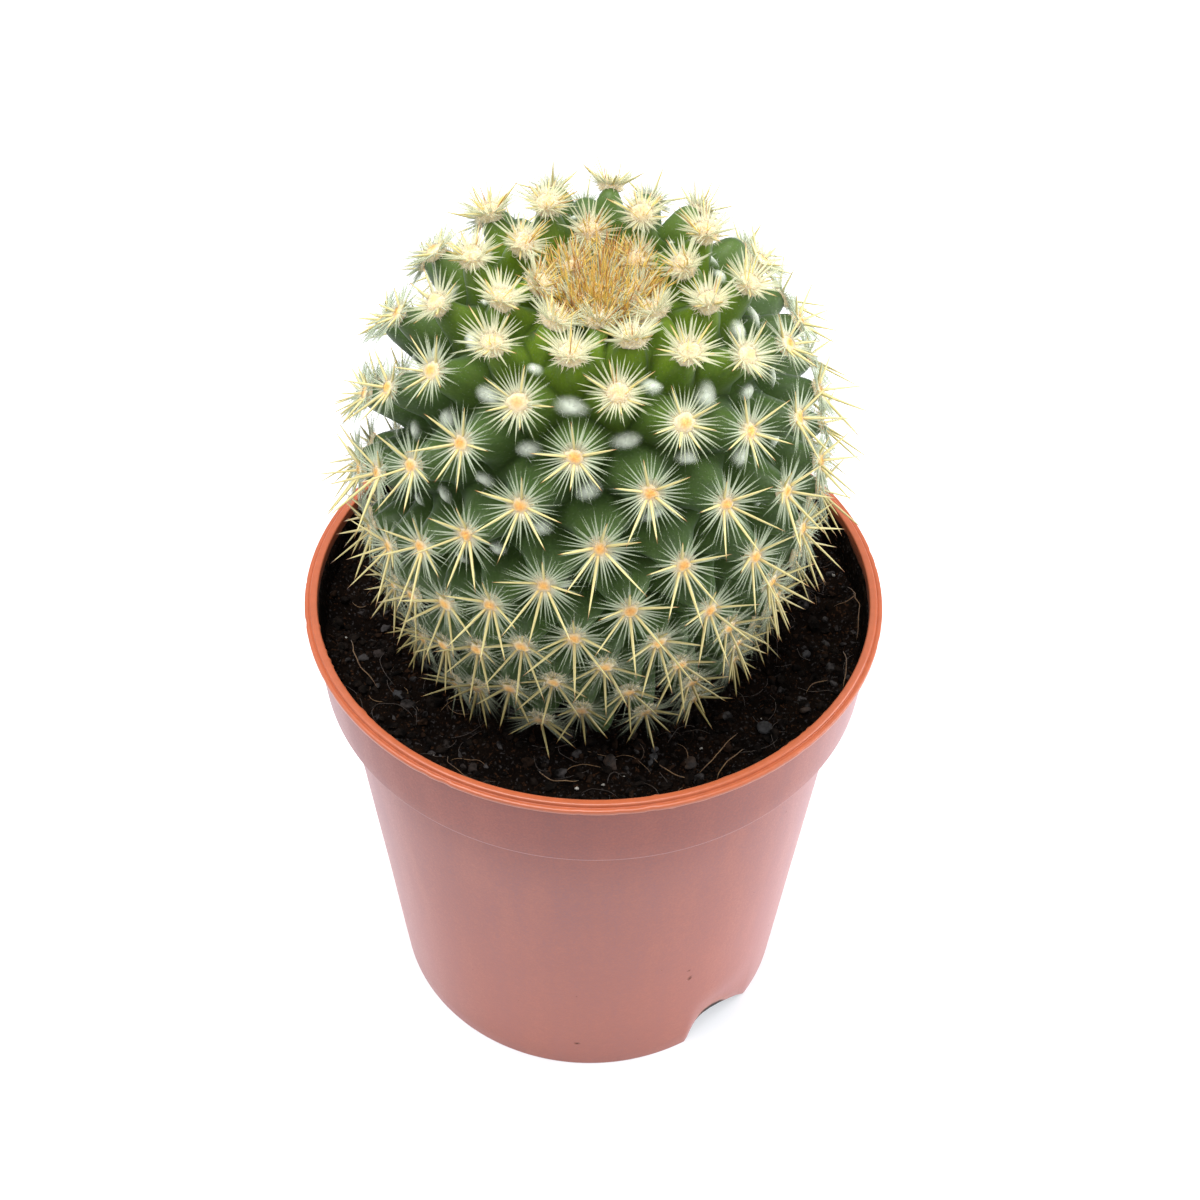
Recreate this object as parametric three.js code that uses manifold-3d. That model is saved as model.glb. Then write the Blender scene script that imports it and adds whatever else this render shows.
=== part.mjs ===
// A young round cactus growing in a thin plastic nursery pot filled with potting soil.
// Millimetres, +Z up. The origin is the centre of the ring that the pot stands on, and -Y is the front.
import * as THREE from 'three';
import { mergeVertices } from 'three/addons/utils/BufferGeometryUtils.js';
import Module from 'manifold-3d';

const wasm = await Module();
wasm.setup();

// Pot: an injection-moulded shell with a collar, a small lip and a notched foot ring
const POT_HEIGHT = 51.6;
const RIM_RADIUS = 27.5;
const COLLAR_TOP_RADIUS = 26.95;
const COLLAR_FOOT_RADIUS = 26.3;
const SHOULDER_Z = 42.8;
const NECK_RADIUS = 24.7;
const FOOT_RADIUS = 20.6;
const WALL = 0.7;
const LIP_HEIGHT = 0.8;
const FLOOR_Z = 4;
const NOTCH_COUNT = 2;
const NOTCH_WIDTH = 9;
const NOTCH_HEIGHT = 3.8;
const NOTCH_AZIMUTH = THREE.MathUtils.degToRad(43.5);
const DRAIN_COUNT = 4;
const DRAIN_RADIUS = 2.2;
const DRAIN_CIRCLE = 13;
const DRAIN_AZIMUTH = Math.PI / 4;
const POT_SIDES = 56;

// Soil: fills the pot to a few millimetres under the rim, with a plain hole for the stem
const GAP = 0.3;
const SOIL_LEVEL = 46.2;
const SOIL_UNEVENNESS = 0.35;
const STEM_RADIUS = 10.8;
const STEM_FOOT_Z = 38.3;
const PLANT_CLEARANCE = 0.7;

// Body: the surface through the tips of the tubercles is a dome with a sunken crown above its widest
// level and tapers like a spinning top below it
const WIDEST_Z = 68;
const BODY_RADIUS = 20.65;
const CROWN_RISE = 25.8;
const CROWN_BEND = 0.945;
const CROWN_DIP = 7.2;
const CROWN_DIP_RADIUS = 8.4;
const FOOT_DROP = 45;
const FOOT_BEND = 1.395;
const LEAN_FORWARD = THREE.MathUtils.degToRad(5);
const LEAN_RIGHT = THREE.MathUtils.degToRad(2);
const BODY_X = -0.48;
const BODY_Y = -0.23;

// Tubercles: one after another they turn by the golden angle and step down from the apex
const TUBERCLE_COUNT = 190;
const GOLDEN_ANGLE = THREE.MathUtils.degToRad(137.508);
const FIRST_AZIMUTH = THREE.MathUtils.degToRad(116.7);
const DESCENT = [151.6, -74.7, 16.5];
const RIGHT_STEP = 8;
const LEFT_STEP = 13;
const VALLEY_AZIMUTH = (RIGHT_STEP + LEFT_STEP) * GOLDEN_ANGLE / 2 - 8 * Math.PI;
const TUBERCLE_HEIGHT = 4.8;
const YOUNG_HEIGHT = 1.3;
const FULL_SIZE_TURN = THREE.MathUtils.degToRad(55);
const TUBERCLE_TIP = 0.95;
const UPWARD_TILT = 0.2;
const ROOT_DEPTH = 0.9;

// Central spines: stiff needles that spread from each areole, given by their angle about its axis
const SPINE_ANGLES = [80, -80, 136, -138];
const SPINE_SPREAD = THREE.MathUtils.degToRad(58);
const SPINE_LENGTH = 5.2;
const YOUNG_SPINE_LENGTH = 3.6;
const UPWARD_SPINE_SHARE = 0.52;
const YOUNG_LOW_SHARE = 0.35;
const RIPE_FROM = THREE.MathUtils.degToRad(40);
const RIPE_AT = THREE.MathUtils.degToRad(70);
const SPINE_RADIUS = 0.18;
const SPINE_SIDES = 3;
const SPINE_RING = 0.45;
const CROWN_BUNCH = 14;
const CROWN_SPREAD = THREE.MathUtils.degToRad(22);

const UP = new THREE.Vector3(0, 1, 0);

// A repeatable draw between 0 and 1 for repeat number n and use j
function draw(n, j) {
  const value = Math.sin(n * 12.9898 + j * 78.233) * 43758.5453;
  return value - Math.floor(value);
}

// A closed three.js geometry as a solid that can be joined and cut
function solid(geometry) {
  const bare = geometry.index ? geometry.clone() : geometry;
  bare.deleteAttribute('normal');
  bare.deleteAttribute('uv');
  const merged = mergeVertices(bare);
  const corners = merged.index.array;
  const faces = [];
  for (let i = 0; i < corners.length; i += 3) {
    const [a, b, c] = [corners[i], corners[i + 1], corners[i + 2]];
    if (a !== b && b !== c && c !== a) {
      faces.push(a, b, c);
    }
  }
  const vertProperties = new Float32Array(merged.attributes.position.array);
  return new wasm.Manifold(new wasm.Mesh({ numProp: 3, vertProperties, triVerts: new Uint32Array(faces) }));
}

// The solid back as a named mesh
function mesh(name, shape, color, roughness) {
  const result = shape.getMesh();
  const geometry = new THREE.BufferGeometry();
  geometry.setAttribute('position', new THREE.BufferAttribute(result.vertProperties, 3));
  geometry.setIndex(new THREE.BufferAttribute(result.triVerts, 1));
  geometry.computeVertexNormals();
  const material = new THREE.MeshStandardMaterial({ color, roughness, metalness: 0 });
  const piece = new THREE.Mesh(geometry, material);
  piece.name = name;
  return piece;
}

// A profile of [radius, height] points turned about the Z axis
function turned(profile, sides) {
  const points = profile.map(([radius, z]) => new THREE.Vector2(radius, z));
  return new THREE.LatheGeometry(points, sides).rotateX(Math.PI / 2);
}

// A geometry that runs along +Y, moved so that it starts at a point and runs along a direction
function along(geometry, length, start, direction) {
  const turn = new THREE.Quaternion().setFromUnitVectors(UP, direction);
  geometry.translate(0, length / 2, 0);
  geometry.applyQuaternion(turn);
  geometry.translate(start.x, start.y, start.z);
  return geometry;
}

// Radius of the pot's tapered outside at a height below the shoulder
function wallRadius(z) {
  return THREE.MathUtils.mapLinear(z, 0, SHOULDER_Z, FOOT_RADIUS, NECK_RADIUS);
}

// Inside radius of the collar at a height above the shoulder
function collarInside(z) {
  const outside = THREE.MathUtils.mapLinear(
    z, SHOULDER_Z, POT_HEIGHT - LIP_HEIGHT, COLLAR_FOOT_RADIUS, COLLAR_TOP_RADIUS);
  return outside - WALL;
}

// Outline of a foot notch: steep on one side, sloping gently down on the other
function notchOutline() {
  const half = NOTCH_WIDTH / 2;
  const outline = new THREE.Shape();
  outline.moveTo(-half, -1);
  outline.lineTo(half, -1);
  outline.lineTo(half, 0);
  outline.quadraticCurveTo(half * 0.45, NOTCH_HEIGHT * 0.8, -half * 0.3, NOTCH_HEIGHT * 0.96);
  outline.quadraticCurveTo(-half * 0.85, NOTCH_HEIGHT * 1.02, -half * 0.93, NOTCH_HEIGHT * 0.6);
  outline.lineTo(-half, 0);
  return outline;
}

function buildPot() {
  const lipFoot = POT_HEIGHT - LIP_HEIGHT;
  const floorTop = FLOOR_Z + WALL;
  const shell = turned([
    [0, FLOOR_Z],
    [wallRadius(FLOOR_Z) - WALL, FLOOR_Z],
    [FOOT_RADIUS - WALL, 0],
    [FOOT_RADIUS, 0],
    [NECK_RADIUS, SHOULDER_Z - 0.4],
    [COLLAR_FOOT_RADIUS - 0.2, SHOULDER_Z - 0.1],
    [COLLAR_FOOT_RADIUS, SHOULDER_Z + 0.2],
    [COLLAR_TOP_RADIUS, lipFoot],
    [RIM_RADIUS, lipFoot + 0.1],
    [RIM_RADIUS, lipFoot + 0.5],
    [RIM_RADIUS - 0.45, lipFoot + 0.55],
    [RIM_RADIUS - 0.6, POT_HEIGHT - 0.05],
    [RIM_RADIUS - 0.85, POT_HEIGHT],
    [collarInside(lipFoot) + 0.05, POT_HEIGHT - 0.1],
    [collarInside(lipFoot), lipFoot],
    [collarInside(SHOULDER_Z + WALL), SHOULDER_Z + WALL],
    [NECK_RADIUS - WALL, SHOULDER_Z + 0.3],
    [wallRadius(floorTop) - WALL, floorTop],
    [0, floorTop],
  ], POT_SIDES);
  let pot = solid(shell);
  const notchShape = notchOutline();
  for (let i = 0; i < NOTCH_COUNT; i += 1) {
    const notch = new THREE.ExtrudeGeometry(notchShape, { depth: 8, bevelEnabled: false, curveSegments: 5 });
    notch.rotateX(Math.PI / 2).translate(0, -FOOT_RADIUS + 6, 0);
    notch.rotateZ(NOTCH_AZIMUTH + i * 2 * Math.PI / NOTCH_COUNT);
    pot = pot.subtract(solid(notch));
  }
  for (let i = 0; i < DRAIN_COUNT; i += 1) {
    const azimuth = DRAIN_AZIMUTH + i * 2 * Math.PI / DRAIN_COUNT;
    const drain = new THREE.CylinderGeometry(DRAIN_RADIUS, DRAIN_RADIUS, 4, 16).rotateX(Math.PI / 2);
    drain.translate(0, -DRAIN_CIRCLE, FLOOR_Z).rotateZ(azimuth);
    pot = pot.subtract(solid(drain));
  }
  return mesh('pot', pot, '#b9694a', 0.55);
}

// Places the body's own axis: it leans a little forward and to the right
function leanMatrix() {
  const lean = new THREE.Matrix4().makeTranslation(BODY_X, BODY_Y, WIDEST_Z);
  lean.multiply(new THREE.Matrix4().makeRotationY(LEAN_RIGHT));
  lean.multiply(new THREE.Matrix4().makeRotationX(LEAN_FORWARD));
  return lean;
}

// Radius and height of the tip surface at a turn from the apex, measured from the widest level
function skin(turn) {
  const above = turn < Math.PI / 2;
  const bend = above ? CROWN_BEND : FOOT_BEND;
  const rise = above ? CROWN_RISE : -FOOT_DROP;
  const radius = BODY_RADIUS * Math.sin(turn) ** bend;
  const dip = CROWN_DIP * Math.exp(-((radius / CROWN_DIP_RADIUS) ** 2));
  return new THREE.Vector2(radius, rise * Math.abs(Math.cos(turn)) ** bend - dip);
}

// Outward direction of the tip surface
function skinNormal(turn) {
  const step = 0.02;
  const lower = skin(turn + step);
  const upper = skin(Math.max(turn - step, 0));
  return new THREE.Vector2(upper.y - lower.y, lower.x - upper.x).normalize();
}

// How far a tubercle has grown, from 0 at the apex to 1
function grown(turn) {
  return THREE.MathUtils.smoothstep(turn, 0, FULL_SIZE_TURN);
}

// How far the tubercles stand out: the young ones at the crown are short
function tubercleHeight(turn) {
  return THREE.MathUtils.lerp(YOUNG_HEIGHT, TUBERCLE_HEIGHT, grown(turn));
}

// A point on the tip surface for the place n along the spiral, sunk below it by a depth
function skinPoint(n, azimuth, depth, lean) {
  const turn = turnAt(n);
  const place = skin(turn);
  const slope = skinNormal(turn);
  const outward = new THREE.Vector3(Math.sin(azimuth), -Math.cos(azimuth), 0);
  outward.multiplyScalar(place.x - slope.x * depth);
  return outward.setZ(place.y - slope.y * depth).applyMatrix4(lean);
}

// Turn from the apex of the place n along the spiral
function turnAt(n) {
  const t = n / 100;
  return THREE.MathUtils.degToRad(t * (DESCENT[0] + t * (DESCENT[1] + t * DESCENT[2])));
}

// Tip, axis and down-slope direction of tubercle number n
function tubercleFrame(n, lean) {
  const turn = turnAt(n);
  const azimuth = FIRST_AZIMUTH + n * GOLDEN_ANGLE;
  const outward = new THREE.Vector3(Math.sin(azimuth), -Math.cos(azimuth), 0);
  const slope = skinNormal(turn);
  const tip = skinPoint(n, azimuth, 0, lean);
  const normal = outward.clone().multiplyScalar(slope.x).setZ(slope.y);
  const down = outward.clone().multiplyScalar(slope.y).setZ(-slope.x);
  const axis = normal.addScaledVector(down, -UPWARD_TILT).normalize().transformDirection(lean);
  down.transformDirection(lean).addScaledVector(axis, -down.dot(axis)).normalize();
  return { turn, tip, axis, down };
}

// The whole body as one skin: four-angled tubercles meet in valleys halfway to their neighbours,
// which stand 8 and 13 places further along the spiral
function bodyGeometry(lean) {
  const points = [];
  const faces = [];
  const valleys = new Map();
  const addPoint = (point) => points.push(point.x, point.y, point.z) / 3 - 1;
  const addFace = (a, b, c) => {
    if (a !== b && b !== c && c !== a) {
      faces.push(a, b, c);
    }
  };
  const middle = (RIGHT_STEP + LEFT_STEP) / 2;
  const apex = addPoint(skinPoint(0, 0, YOUNG_HEIGHT, lean));
  const valley = (n) => {
    if (n + middle <= 0) {
      return apex;
    }
    if (!valleys.has(n)) {
      const azimuth = FIRST_AZIMUTH + n * GOLDEN_ANGLE + VALLEY_AZIMUTH;
      const depth = tubercleHeight(turnAt(n + middle));
      valleys.set(n, addPoint(skinPoint(n + middle, azimuth, depth, lean)));
    }
    return valleys.get(n);
  };
  for (let n = -middle + 0.5; n < TUBERCLE_COUNT; n += 1) {
    const foot = [n - RIGHT_STEP - LEFT_STEP, n - LEFT_STEP, n, n - RIGHT_STEP].map(valley);
    if (n < 0) {
      addFace(foot[0], foot[2], foot[1]);
      addFace(foot[0], foot[3], foot[2]);
    } else {
      const frame = tubercleFrame(n, lean);
      const side = new THREE.Vector3().crossVectors(frame.axis, frame.down);
      const width = TUBERCLE_TIP * THREE.MathUtils.lerp(0.55, 1, grown(frame.turn));
      const corner = (along, across) => addPoint(
        frame.tip.clone().addScaledVector(frame.down, along * width).addScaledVector(side, across * width));
      const tip = [corner(-1, 0), corner(0, 1), corner(1, 0), corner(0, -1)];
      for (let i = 0; i < 4; i += 1) {
        const next = (i + 1) % 4;
        addFace(foot[next], foot[i], tip[i]);
        addFace(foot[next], tip[i], tip[next]);
      }
      addFace(tip[0], tip[2], tip[1]);
      addFace(tip[0], tip[3], tip[2]);
    }
  }
  closeUnderside(faces, addPoint(new THREE.Vector3(0, 0, -FOOT_DROP / 2).applyMatrix4(lean)));
  const geometry = new THREE.BufferGeometry();
  geometry.setAttribute('position', new THREE.Float32BufferAttribute(points, 3));
  geometry.setIndex(faces);
  return geometry;
}

// Joins every open edge to one point under the body
function closeUnderside(faces, point) {
  const open = new Map();
  for (let i = 0; i < faces.length; i += 3) {
    for (const [a, b] of [[0, 1], [1, 2], [2, 0]]) {
      const [from, to] = [faces[i + a], faces[i + b]];
      if (!open.delete(`${to} ${from}`)) {
        open.set(`${from} ${to}`, [from, to]);
      }
    }
  }
  for (const [from, to] of open.values()) {
    faces.push(to, from, point);
  }
}

// Length of a needle as a share of the longest: shorter towards the apex, and still short on the low
// side of a young areole
function needleShare(angle, turn) {
  const low = (1 - Math.cos(angle)) / 2;
  const youth = 1 - THREE.MathUtils.smoothstep(turn, RIPE_FROM, RIPE_AT);
  const young = THREE.MathUtils.lerp(1, YOUNG_LOW_SHARE, youth * low ** 2);
  return young * THREE.MathUtils.lerp(UPWARD_SPINE_SHARE, 1, low);
}

// The needles of one areole; low ones are lifted to lie just over the soil
function spines(n, frame, lowest) {
  const young = n < CROWN_BUNCH;
  const fullLength = THREE.MathUtils.lerp(YOUNG_SPINE_LENGTH, SPINE_LENGTH, grown(frame.turn));
  const side = new THREE.Vector3().crossVectors(frame.down, frame.axis);
  return SPINE_ANGLES.map((angle, j) => {
    const turn = THREE.MathUtils.degToRad(angle + 24 * (draw(n, j) - 0.5));
    const spread = (young ? CROWN_SPREAD : SPINE_SPREAD) + 0.3 * (draw(n, j + 10) - 0.5);
    const length = fullLength * needleShare(turn, frame.turn) * (0.88 + 0.24 * draw(n, j + 20));
    const radial = frame.down.clone().multiplyScalar(-Math.cos(turn)).addScaledVector(side, Math.sin(turn));
    const direction = frame.axis.clone().multiplyScalar(Math.cos(spread));
    direction.addScaledVector(radial, Math.sin(spread));
    const mouth = frame.tip.clone().addScaledVector(radial, SPINE_RING);
    const deepest = (lowest - mouth.z) / length;
    if (direction.z < deepest) {
      const flat = Math.sqrt((1 - deepest ** 2) / (direction.x ** 2 + direction.y ** 2));
      direction.set(direction.x * flat, direction.y * flat, deepest);
    }
    const start = mouth.addScaledVector(direction, -ROOT_DEPTH);
    const needle = new THREE.ConeGeometry(SPINE_RADIUS, length + ROOT_DEPTH, SPINE_SIDES);
    return solid(along(needle, length + ROOT_DEPTH, start, direction));
  });
}

// Everything the plant may fill: the air over the soil and the hole that its stem stands in
function plantRoom(stemFoot) {
  const floor = SOIL_LEVEL + PLANT_CLEARANCE;
  const air = turned([[0, floor], [60, floor], [60, 120], [0, 120]], 8);
  const top = floor + 1;
  const stem = turned([[0, STEM_FOOT_Z], [STEM_RADIUS, STEM_FOOT_Z], [STEM_RADIUS, top], [0, top]], 28);
  stem.translate(stemFoot.x, stemFoot.y, 0);
  return { air: solid(air), stem: solid(stem) };
}

function buildCactus(lean, stemFoot) {
  const lowest = SOIL_LEVEL + PLANT_CLEARANCE + 0.6;
  const needles = [];
  for (let n = 0; n < TUBERCLE_COUNT; n += 1) {
    const frame = tubercleFrame(n, lean);
    if (frame.tip.z > lowest) {
      needles.push(...spines(n, frame, lowest));
    }
  }
  const room = plantRoom(stemFoot);
  const flesh = solid(bodyGeometry(lean)).intersect(room.air).add(room.stem);
  return mesh('cactus', wasm.Manifold.union([flesh, ...needles]), '#4c6b35', 0.6);
}

function buildSoil(stemFoot) {
  const foot = FLOOR_Z + WALL + GAP;
  const step = SHOULDER_Z + 0.3;
  const edge = collarInside(SOIL_LEVEL) - GAP;
  const inside = (z) => wallRadius(z) - WALL - GAP;
  const top = [];
  for (let ring = 0; ring < 7; ring += 1) {
    top.push([edge * (1 - ring / 7), SOIL_LEVEL]);
  }
  const bulk = turned([
    [0, foot],
    [inside(foot), foot],
    [inside(step), step],
    [inside(step), step + GAP + WALL],
    [collarInside(step + GAP + WALL) - GAP, step + GAP + WALL],
    ...top,
    [0, SOIL_LEVEL],
  ], 36);
  const points = bulk.attributes.position;
  for (let i = 0; i < points.count; i += 1) {
    const [x, y, z] = [points.getX(i), points.getY(i), points.getZ(i)];
    if (z > SOIL_LEVEL - 0.01) {
      const wave = Math.sin(0.31 * x + 0.7) * Math.cos(0.37 * y) + 0.6 * Math.sin(0.83 * x - 0.61 * y);
      points.setZ(i, z + SOIL_UNEVENNESS * wave / 1.6);
    }
  }
  const hole = new THREE.CylinderGeometry(STEM_RADIUS + GAP, STEM_RADIUS + GAP, 20, 28).rotateX(Math.PI / 2);
  hole.translate(stemFoot.x, stemFoot.y, STEM_FOOT_Z - GAP + 10);
  return mesh('soil', solid(bulk).subtract(solid(hole)), '#231a15', 0.95);
}

const lean = leanMatrix();
const stemFoot = new THREE.Vector3(0, 0, SOIL_LEVEL - WIDEST_Z).applyMatrix4(lean);
const pottedCactus = new THREE.Group();
pottedCactus.add(buildPot());
pottedCactus.add(buildSoil(stemFoot));
pottedCactus.add(buildCactus(lean, stemFoot));

export default pottedCactus;
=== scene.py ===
import math

import bmesh
import bpy
import numpy as np
from mathutils import Matrix, Vector


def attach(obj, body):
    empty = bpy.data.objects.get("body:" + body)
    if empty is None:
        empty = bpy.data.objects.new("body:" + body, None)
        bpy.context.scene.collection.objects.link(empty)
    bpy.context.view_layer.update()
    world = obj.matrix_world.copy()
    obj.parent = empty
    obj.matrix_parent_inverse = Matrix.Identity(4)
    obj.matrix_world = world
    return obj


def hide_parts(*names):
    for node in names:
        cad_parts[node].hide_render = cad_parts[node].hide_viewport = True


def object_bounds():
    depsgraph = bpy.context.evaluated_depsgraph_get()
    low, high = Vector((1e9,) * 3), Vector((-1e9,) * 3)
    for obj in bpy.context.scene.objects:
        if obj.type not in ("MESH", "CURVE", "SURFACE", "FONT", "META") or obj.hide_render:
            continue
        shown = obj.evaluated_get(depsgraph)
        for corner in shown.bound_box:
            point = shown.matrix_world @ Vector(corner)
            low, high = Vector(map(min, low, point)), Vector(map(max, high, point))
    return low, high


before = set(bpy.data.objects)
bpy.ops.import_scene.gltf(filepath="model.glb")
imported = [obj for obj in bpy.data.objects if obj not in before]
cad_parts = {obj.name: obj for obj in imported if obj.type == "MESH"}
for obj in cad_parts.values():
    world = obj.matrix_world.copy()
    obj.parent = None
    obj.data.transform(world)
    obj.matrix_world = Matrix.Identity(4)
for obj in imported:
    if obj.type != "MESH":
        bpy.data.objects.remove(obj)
cad_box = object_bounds()


# Pot shell: a thin terracotta-coloured nursery pot of polypropylene, injection moulded in one piece.
# A rounded bead and a small flange make its lip, over a collar, a shoulder, a tapered wall and a foot ring
# with two arched notches. The flange keeps a little flash and a few nicks from the mould and from handling.
MM = 0.001
FULL_TURN = 2 * math.pi
POT_HEIGHT = 51.6
RIM_RADIUS = 27.5
COLLAR_TOP_RADIUS = 26.95
COLLAR_FOOT_RADIUS = 26.3
SHOULDER_Z = 42.8
NECK_RADIUS = 24.7
FOOT_RADIUS = 20.6
POT_WALL = 0.7
LIP_HEIGHT = 0.8
FLOOR_Z = 4.0
NOTCH_WIDTH = 9.0
NOTCH_HEIGHT = 3.8
NOTCH_AZIMUTHS = (math.radians(43.5), math.radians(223.5))
NOTCH_REACH_Z = 8.0
DRAIN_RADIUS = 2.2
DRAIN_CIRCLE = 13.0
POT_SEGMENTS = 400
POT_ROW_STEP = 2.0
CORNER_STEPS = (0, 0.33, 0.67, 1)
NICK_DEPTH = 0.22
FLASH_DEPTH = 0.2
BURR_REACH = 0.55
WAVINESS = 0.05
TERRACOTTA = (0.40, 0.096, 0.036)
TERRACOTTA_DEEP = (0.31, 0.066, 0.024)
LILAC_DUST_SHEEN_SHADED = (0.200, 0.092, 0.106)
PALE_DUST_SHEEN_LIT = (0.325, 0.118, 0.106)
COLLAR_SHADE_TINT = (0.80, 0.56, 0.48)
EDGE_SHEEN = (0.66, 0.50, 0.57)
SOIL_STAIN_AND_SHADE = (0.0040, 0.0025, 0.0020)


def cloud(points, size, seed):
    """Smooth lumps between -1 and 1 at points in millimetres, each lump about as wide as size."""
    cells = np.asarray(points, float) / size
    low = np.floor(cells)
    part = cells - low
    ease = part * part * (3 - 2 * part)
    total = np.zeros(len(cells))
    for corner in np.ndindex(2, 2, 2):
        value = np.sin((low + corner) @ (127.1, 311.7, 74.7) + seed * 17.3) * 43758.5453
        total += (2 * (value - np.floor(value)) - 1) * np.prod(np.where(corner, ease, 1 - ease), axis=1)
    return total


def curve(start, pull, end, t):
    """Where a curve from start to end, drawn towards a third point, is at a share of its way."""
    return (1 - t) ** 2 * start + 2 * t * (1 - t) * pull + t * t * end


def softened(corners, radius):
    """An outline with each of its corners rounded off."""
    corners = [np.array(corner, float) for corner in corners]
    outline = [corners[0]]
    for before, corner, after in zip(corners, corners[1:], corners[2:]):
        ways = (before - corner, after - corner)
        start, end = (corner + way * min(radius / np.linalg.norm(way), 0.4) for way in ways)
        outline += [curve(start, corner, end, t) for t in CORNER_STEPS]
    return outline + [corners[-1]]


def divided(outline, step):
    """An outline with its long runs divided into rows."""
    rows = [outline[0]]
    for start, end in zip(outline, outline[1:]):
        count = max(1, math.ceil(np.linalg.norm(end - start) / step))
        rows += [start + (end - start) * (i + 1) / count for i in range(count)]
    return np.array(rows)


def turns(count):
    """Even turns once round."""
    return np.arange(count) * FULL_TURN / count


def around(radius, turn, z):
    """Points at radii and turns about the pot's axis, at their heights."""
    return np.stack(np.broadcast_arrays(radius * np.cos(turn), radius * np.sin(turn), z), axis=-1)


def ring_faces(rows, segments):
    """Quads between rows of points that each go once round."""
    row, place = np.indices((rows - 1, segments))
    near, far, on = row * segments, (row + 1) * segments, (place + 1) % segments
    return np.stack([near + place, near + on, far + on, far + place], axis=-1).reshape(-1, 4)


def make_piece(name, points, faces, smooth=True, **shades):
    """A mesh object from points in millimetres, with a named number a point where a finish needs it."""
    mesh = bpy.data.meshes.new(name)
    mesh.from_pydata((np.asarray(points) * MM).reshape(-1, 3).tolist(), [], [list(face) for face in faces])
    for shade, values in shades.items():
        values = np.asarray(values, np.float32).ravel()
        mesh.attributes.new(shade, "FLOAT", "POINT").data.foreach_set("value", values)
    mesh.polygons.foreach_set("use_smooth", [smooth] * len(mesh.polygons))
    mesh.update()
    piece = bpy.data.objects.new(name, mesh)
    bpy.context.scene.collection.objects.link(piece)
    return piece


def weld(piece, distance=0.002):
    """Joins points that lie on each other and drops the faces that collapse."""
    work = bmesh.new()
    work.from_mesh(piece.data)
    bmesh.ops.remove_doubles(work, verts=work.verts, dist=distance * MM)
    bmesh.ops.dissolve_degenerate(work, edges=work.edges, dist=distance * MM / 4)
    work.to_mesh(piece.data)
    work.free()


def wall_radius(z):
    """Radius of the pot's tapered outside at a height below the shoulder."""
    return FOOT_RADIUS + (NECK_RADIUS - FOOT_RADIUS) * z / SHOULDER_Z


def collar_inside(z):
    """Inside radius of the collar at a height above the shoulder."""
    share = (z - SHOULDER_Z) / (POT_HEIGHT - LIP_HEIGHT - SHOULDER_Z)
    return COLLAR_FOOT_RADIUS + (COLLAR_TOP_RADIUS - COLLAR_FOOT_RADIUS) * share - POT_WALL


lip_foot = POT_HEIGHT - LIP_HEIGHT
floor_top = FLOOR_Z + POT_WALL
lip_inside = collar_inside(lip_foot)
lower_part = softened([
    (0.0, FLOOR_Z - 0.3), (0.7, FLOOR_Z - 0.3), (1.1, FLOOR_Z), (wall_radius(FLOOR_Z) - POT_WALL, FLOOR_Z),
    (FOOT_RADIUS - POT_WALL, 0.0), (FOOT_RADIUS, 0.0), (NECK_RADIUS, SHOULDER_Z - 0.4),
    (COLLAR_FOOT_RADIUS - 0.2, SHOULDER_Z - 0.1), (COLLAR_FOOT_RADIUS, SHOULDER_Z + 0.2),
    (COLLAR_TOP_RADIUS, lip_foot - 0.05)], 0.16)
lip_part = softened([
    (COLLAR_TOP_RADIUS, lip_foot), (RIM_RADIUS - 0.02, lip_foot + 0.02), (RIM_RADIUS, lip_foot + 0.5),
    (RIM_RADIUS - 0.34, lip_foot + 0.56), (RIM_RADIUS - 0.5, lip_foot + 0.44),
    (RIM_RADIUS - 0.56, POT_HEIGHT), (lip_inside, POT_HEIGHT), (lip_inside, lip_foot - 0.2)], 0.17)
inner_part = softened([
    (lip_inside, lip_foot - 0.4), (collar_inside(SHOULDER_Z + POT_WALL), SHOULDER_Z + POT_WALL),
    (NECK_RADIUS - POT_WALL, SHOULDER_Z + 0.3), (wall_radius(floor_top) - POT_WALL, floor_top),
    (0.0, floor_top)], 0.3)
pot_rows = divided(lower_part + lip_part + inner_part, POT_ROW_STEP)
pot_radius, pot_z = pot_rows[:, :1], np.minimum(pot_rows[:, 1:], POT_HEIGHT)
pot_turn = turns(POT_SEGMENTS)

# An arch is steep on one side and falls gently to the other, and the rows of the foot rise with it
arch_x = np.array([-0.5, -0.47, -0.42, -0.36, -0.28, -0.16, 0.0, 0.18, 0.32, 0.43, 0.5]) * NOTCH_WIDTH
arch_z = np.array([0.0, 0.22, 0.60, 0.86, 0.98, 1.0, 0.90, 0.66, 0.43, 0.17, 0.0]) * NOTCH_HEIGHT
foot_rise = np.zeros(POT_SEGMENTS)
for azimuth in NOTCH_AZIMUTHS:
    aside = (pot_turn - azimuth + math.pi * 1.5) % FULL_TURN - math.pi
    foot_rise = np.maximum(foot_rise, np.interp(aside * FOOT_RADIUS, arch_x, arch_z, left=0, right=0))
outer = (np.arange(len(pot_rows)) < len(pot_rows) // 2)[:, None]
reach = np.where(outer & (pot_radius > wall_radius(0) - 0.15), NOTCH_REACH_Z, FLOOR_Z)
in_foot = outer & (pot_z < reach - 1e-6) & (pot_radius > FOOT_RADIUS - POT_WALL - 0.3)

# The flange's nicks and flash, and the slight waviness of a thin wall
rim = around(RIM_RADIUS, pot_turn, 0.0)


def flaws(size, seed, limit, stretch, common):
    """Small flaws round the rim, which come in some stretches of it."""
    here = np.clip(cloud(rim, stretch, seed + 1) + common, 0, 1)
    return np.clip(cloud(rim, size, seed) - limit, 0, 1) * here


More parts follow.
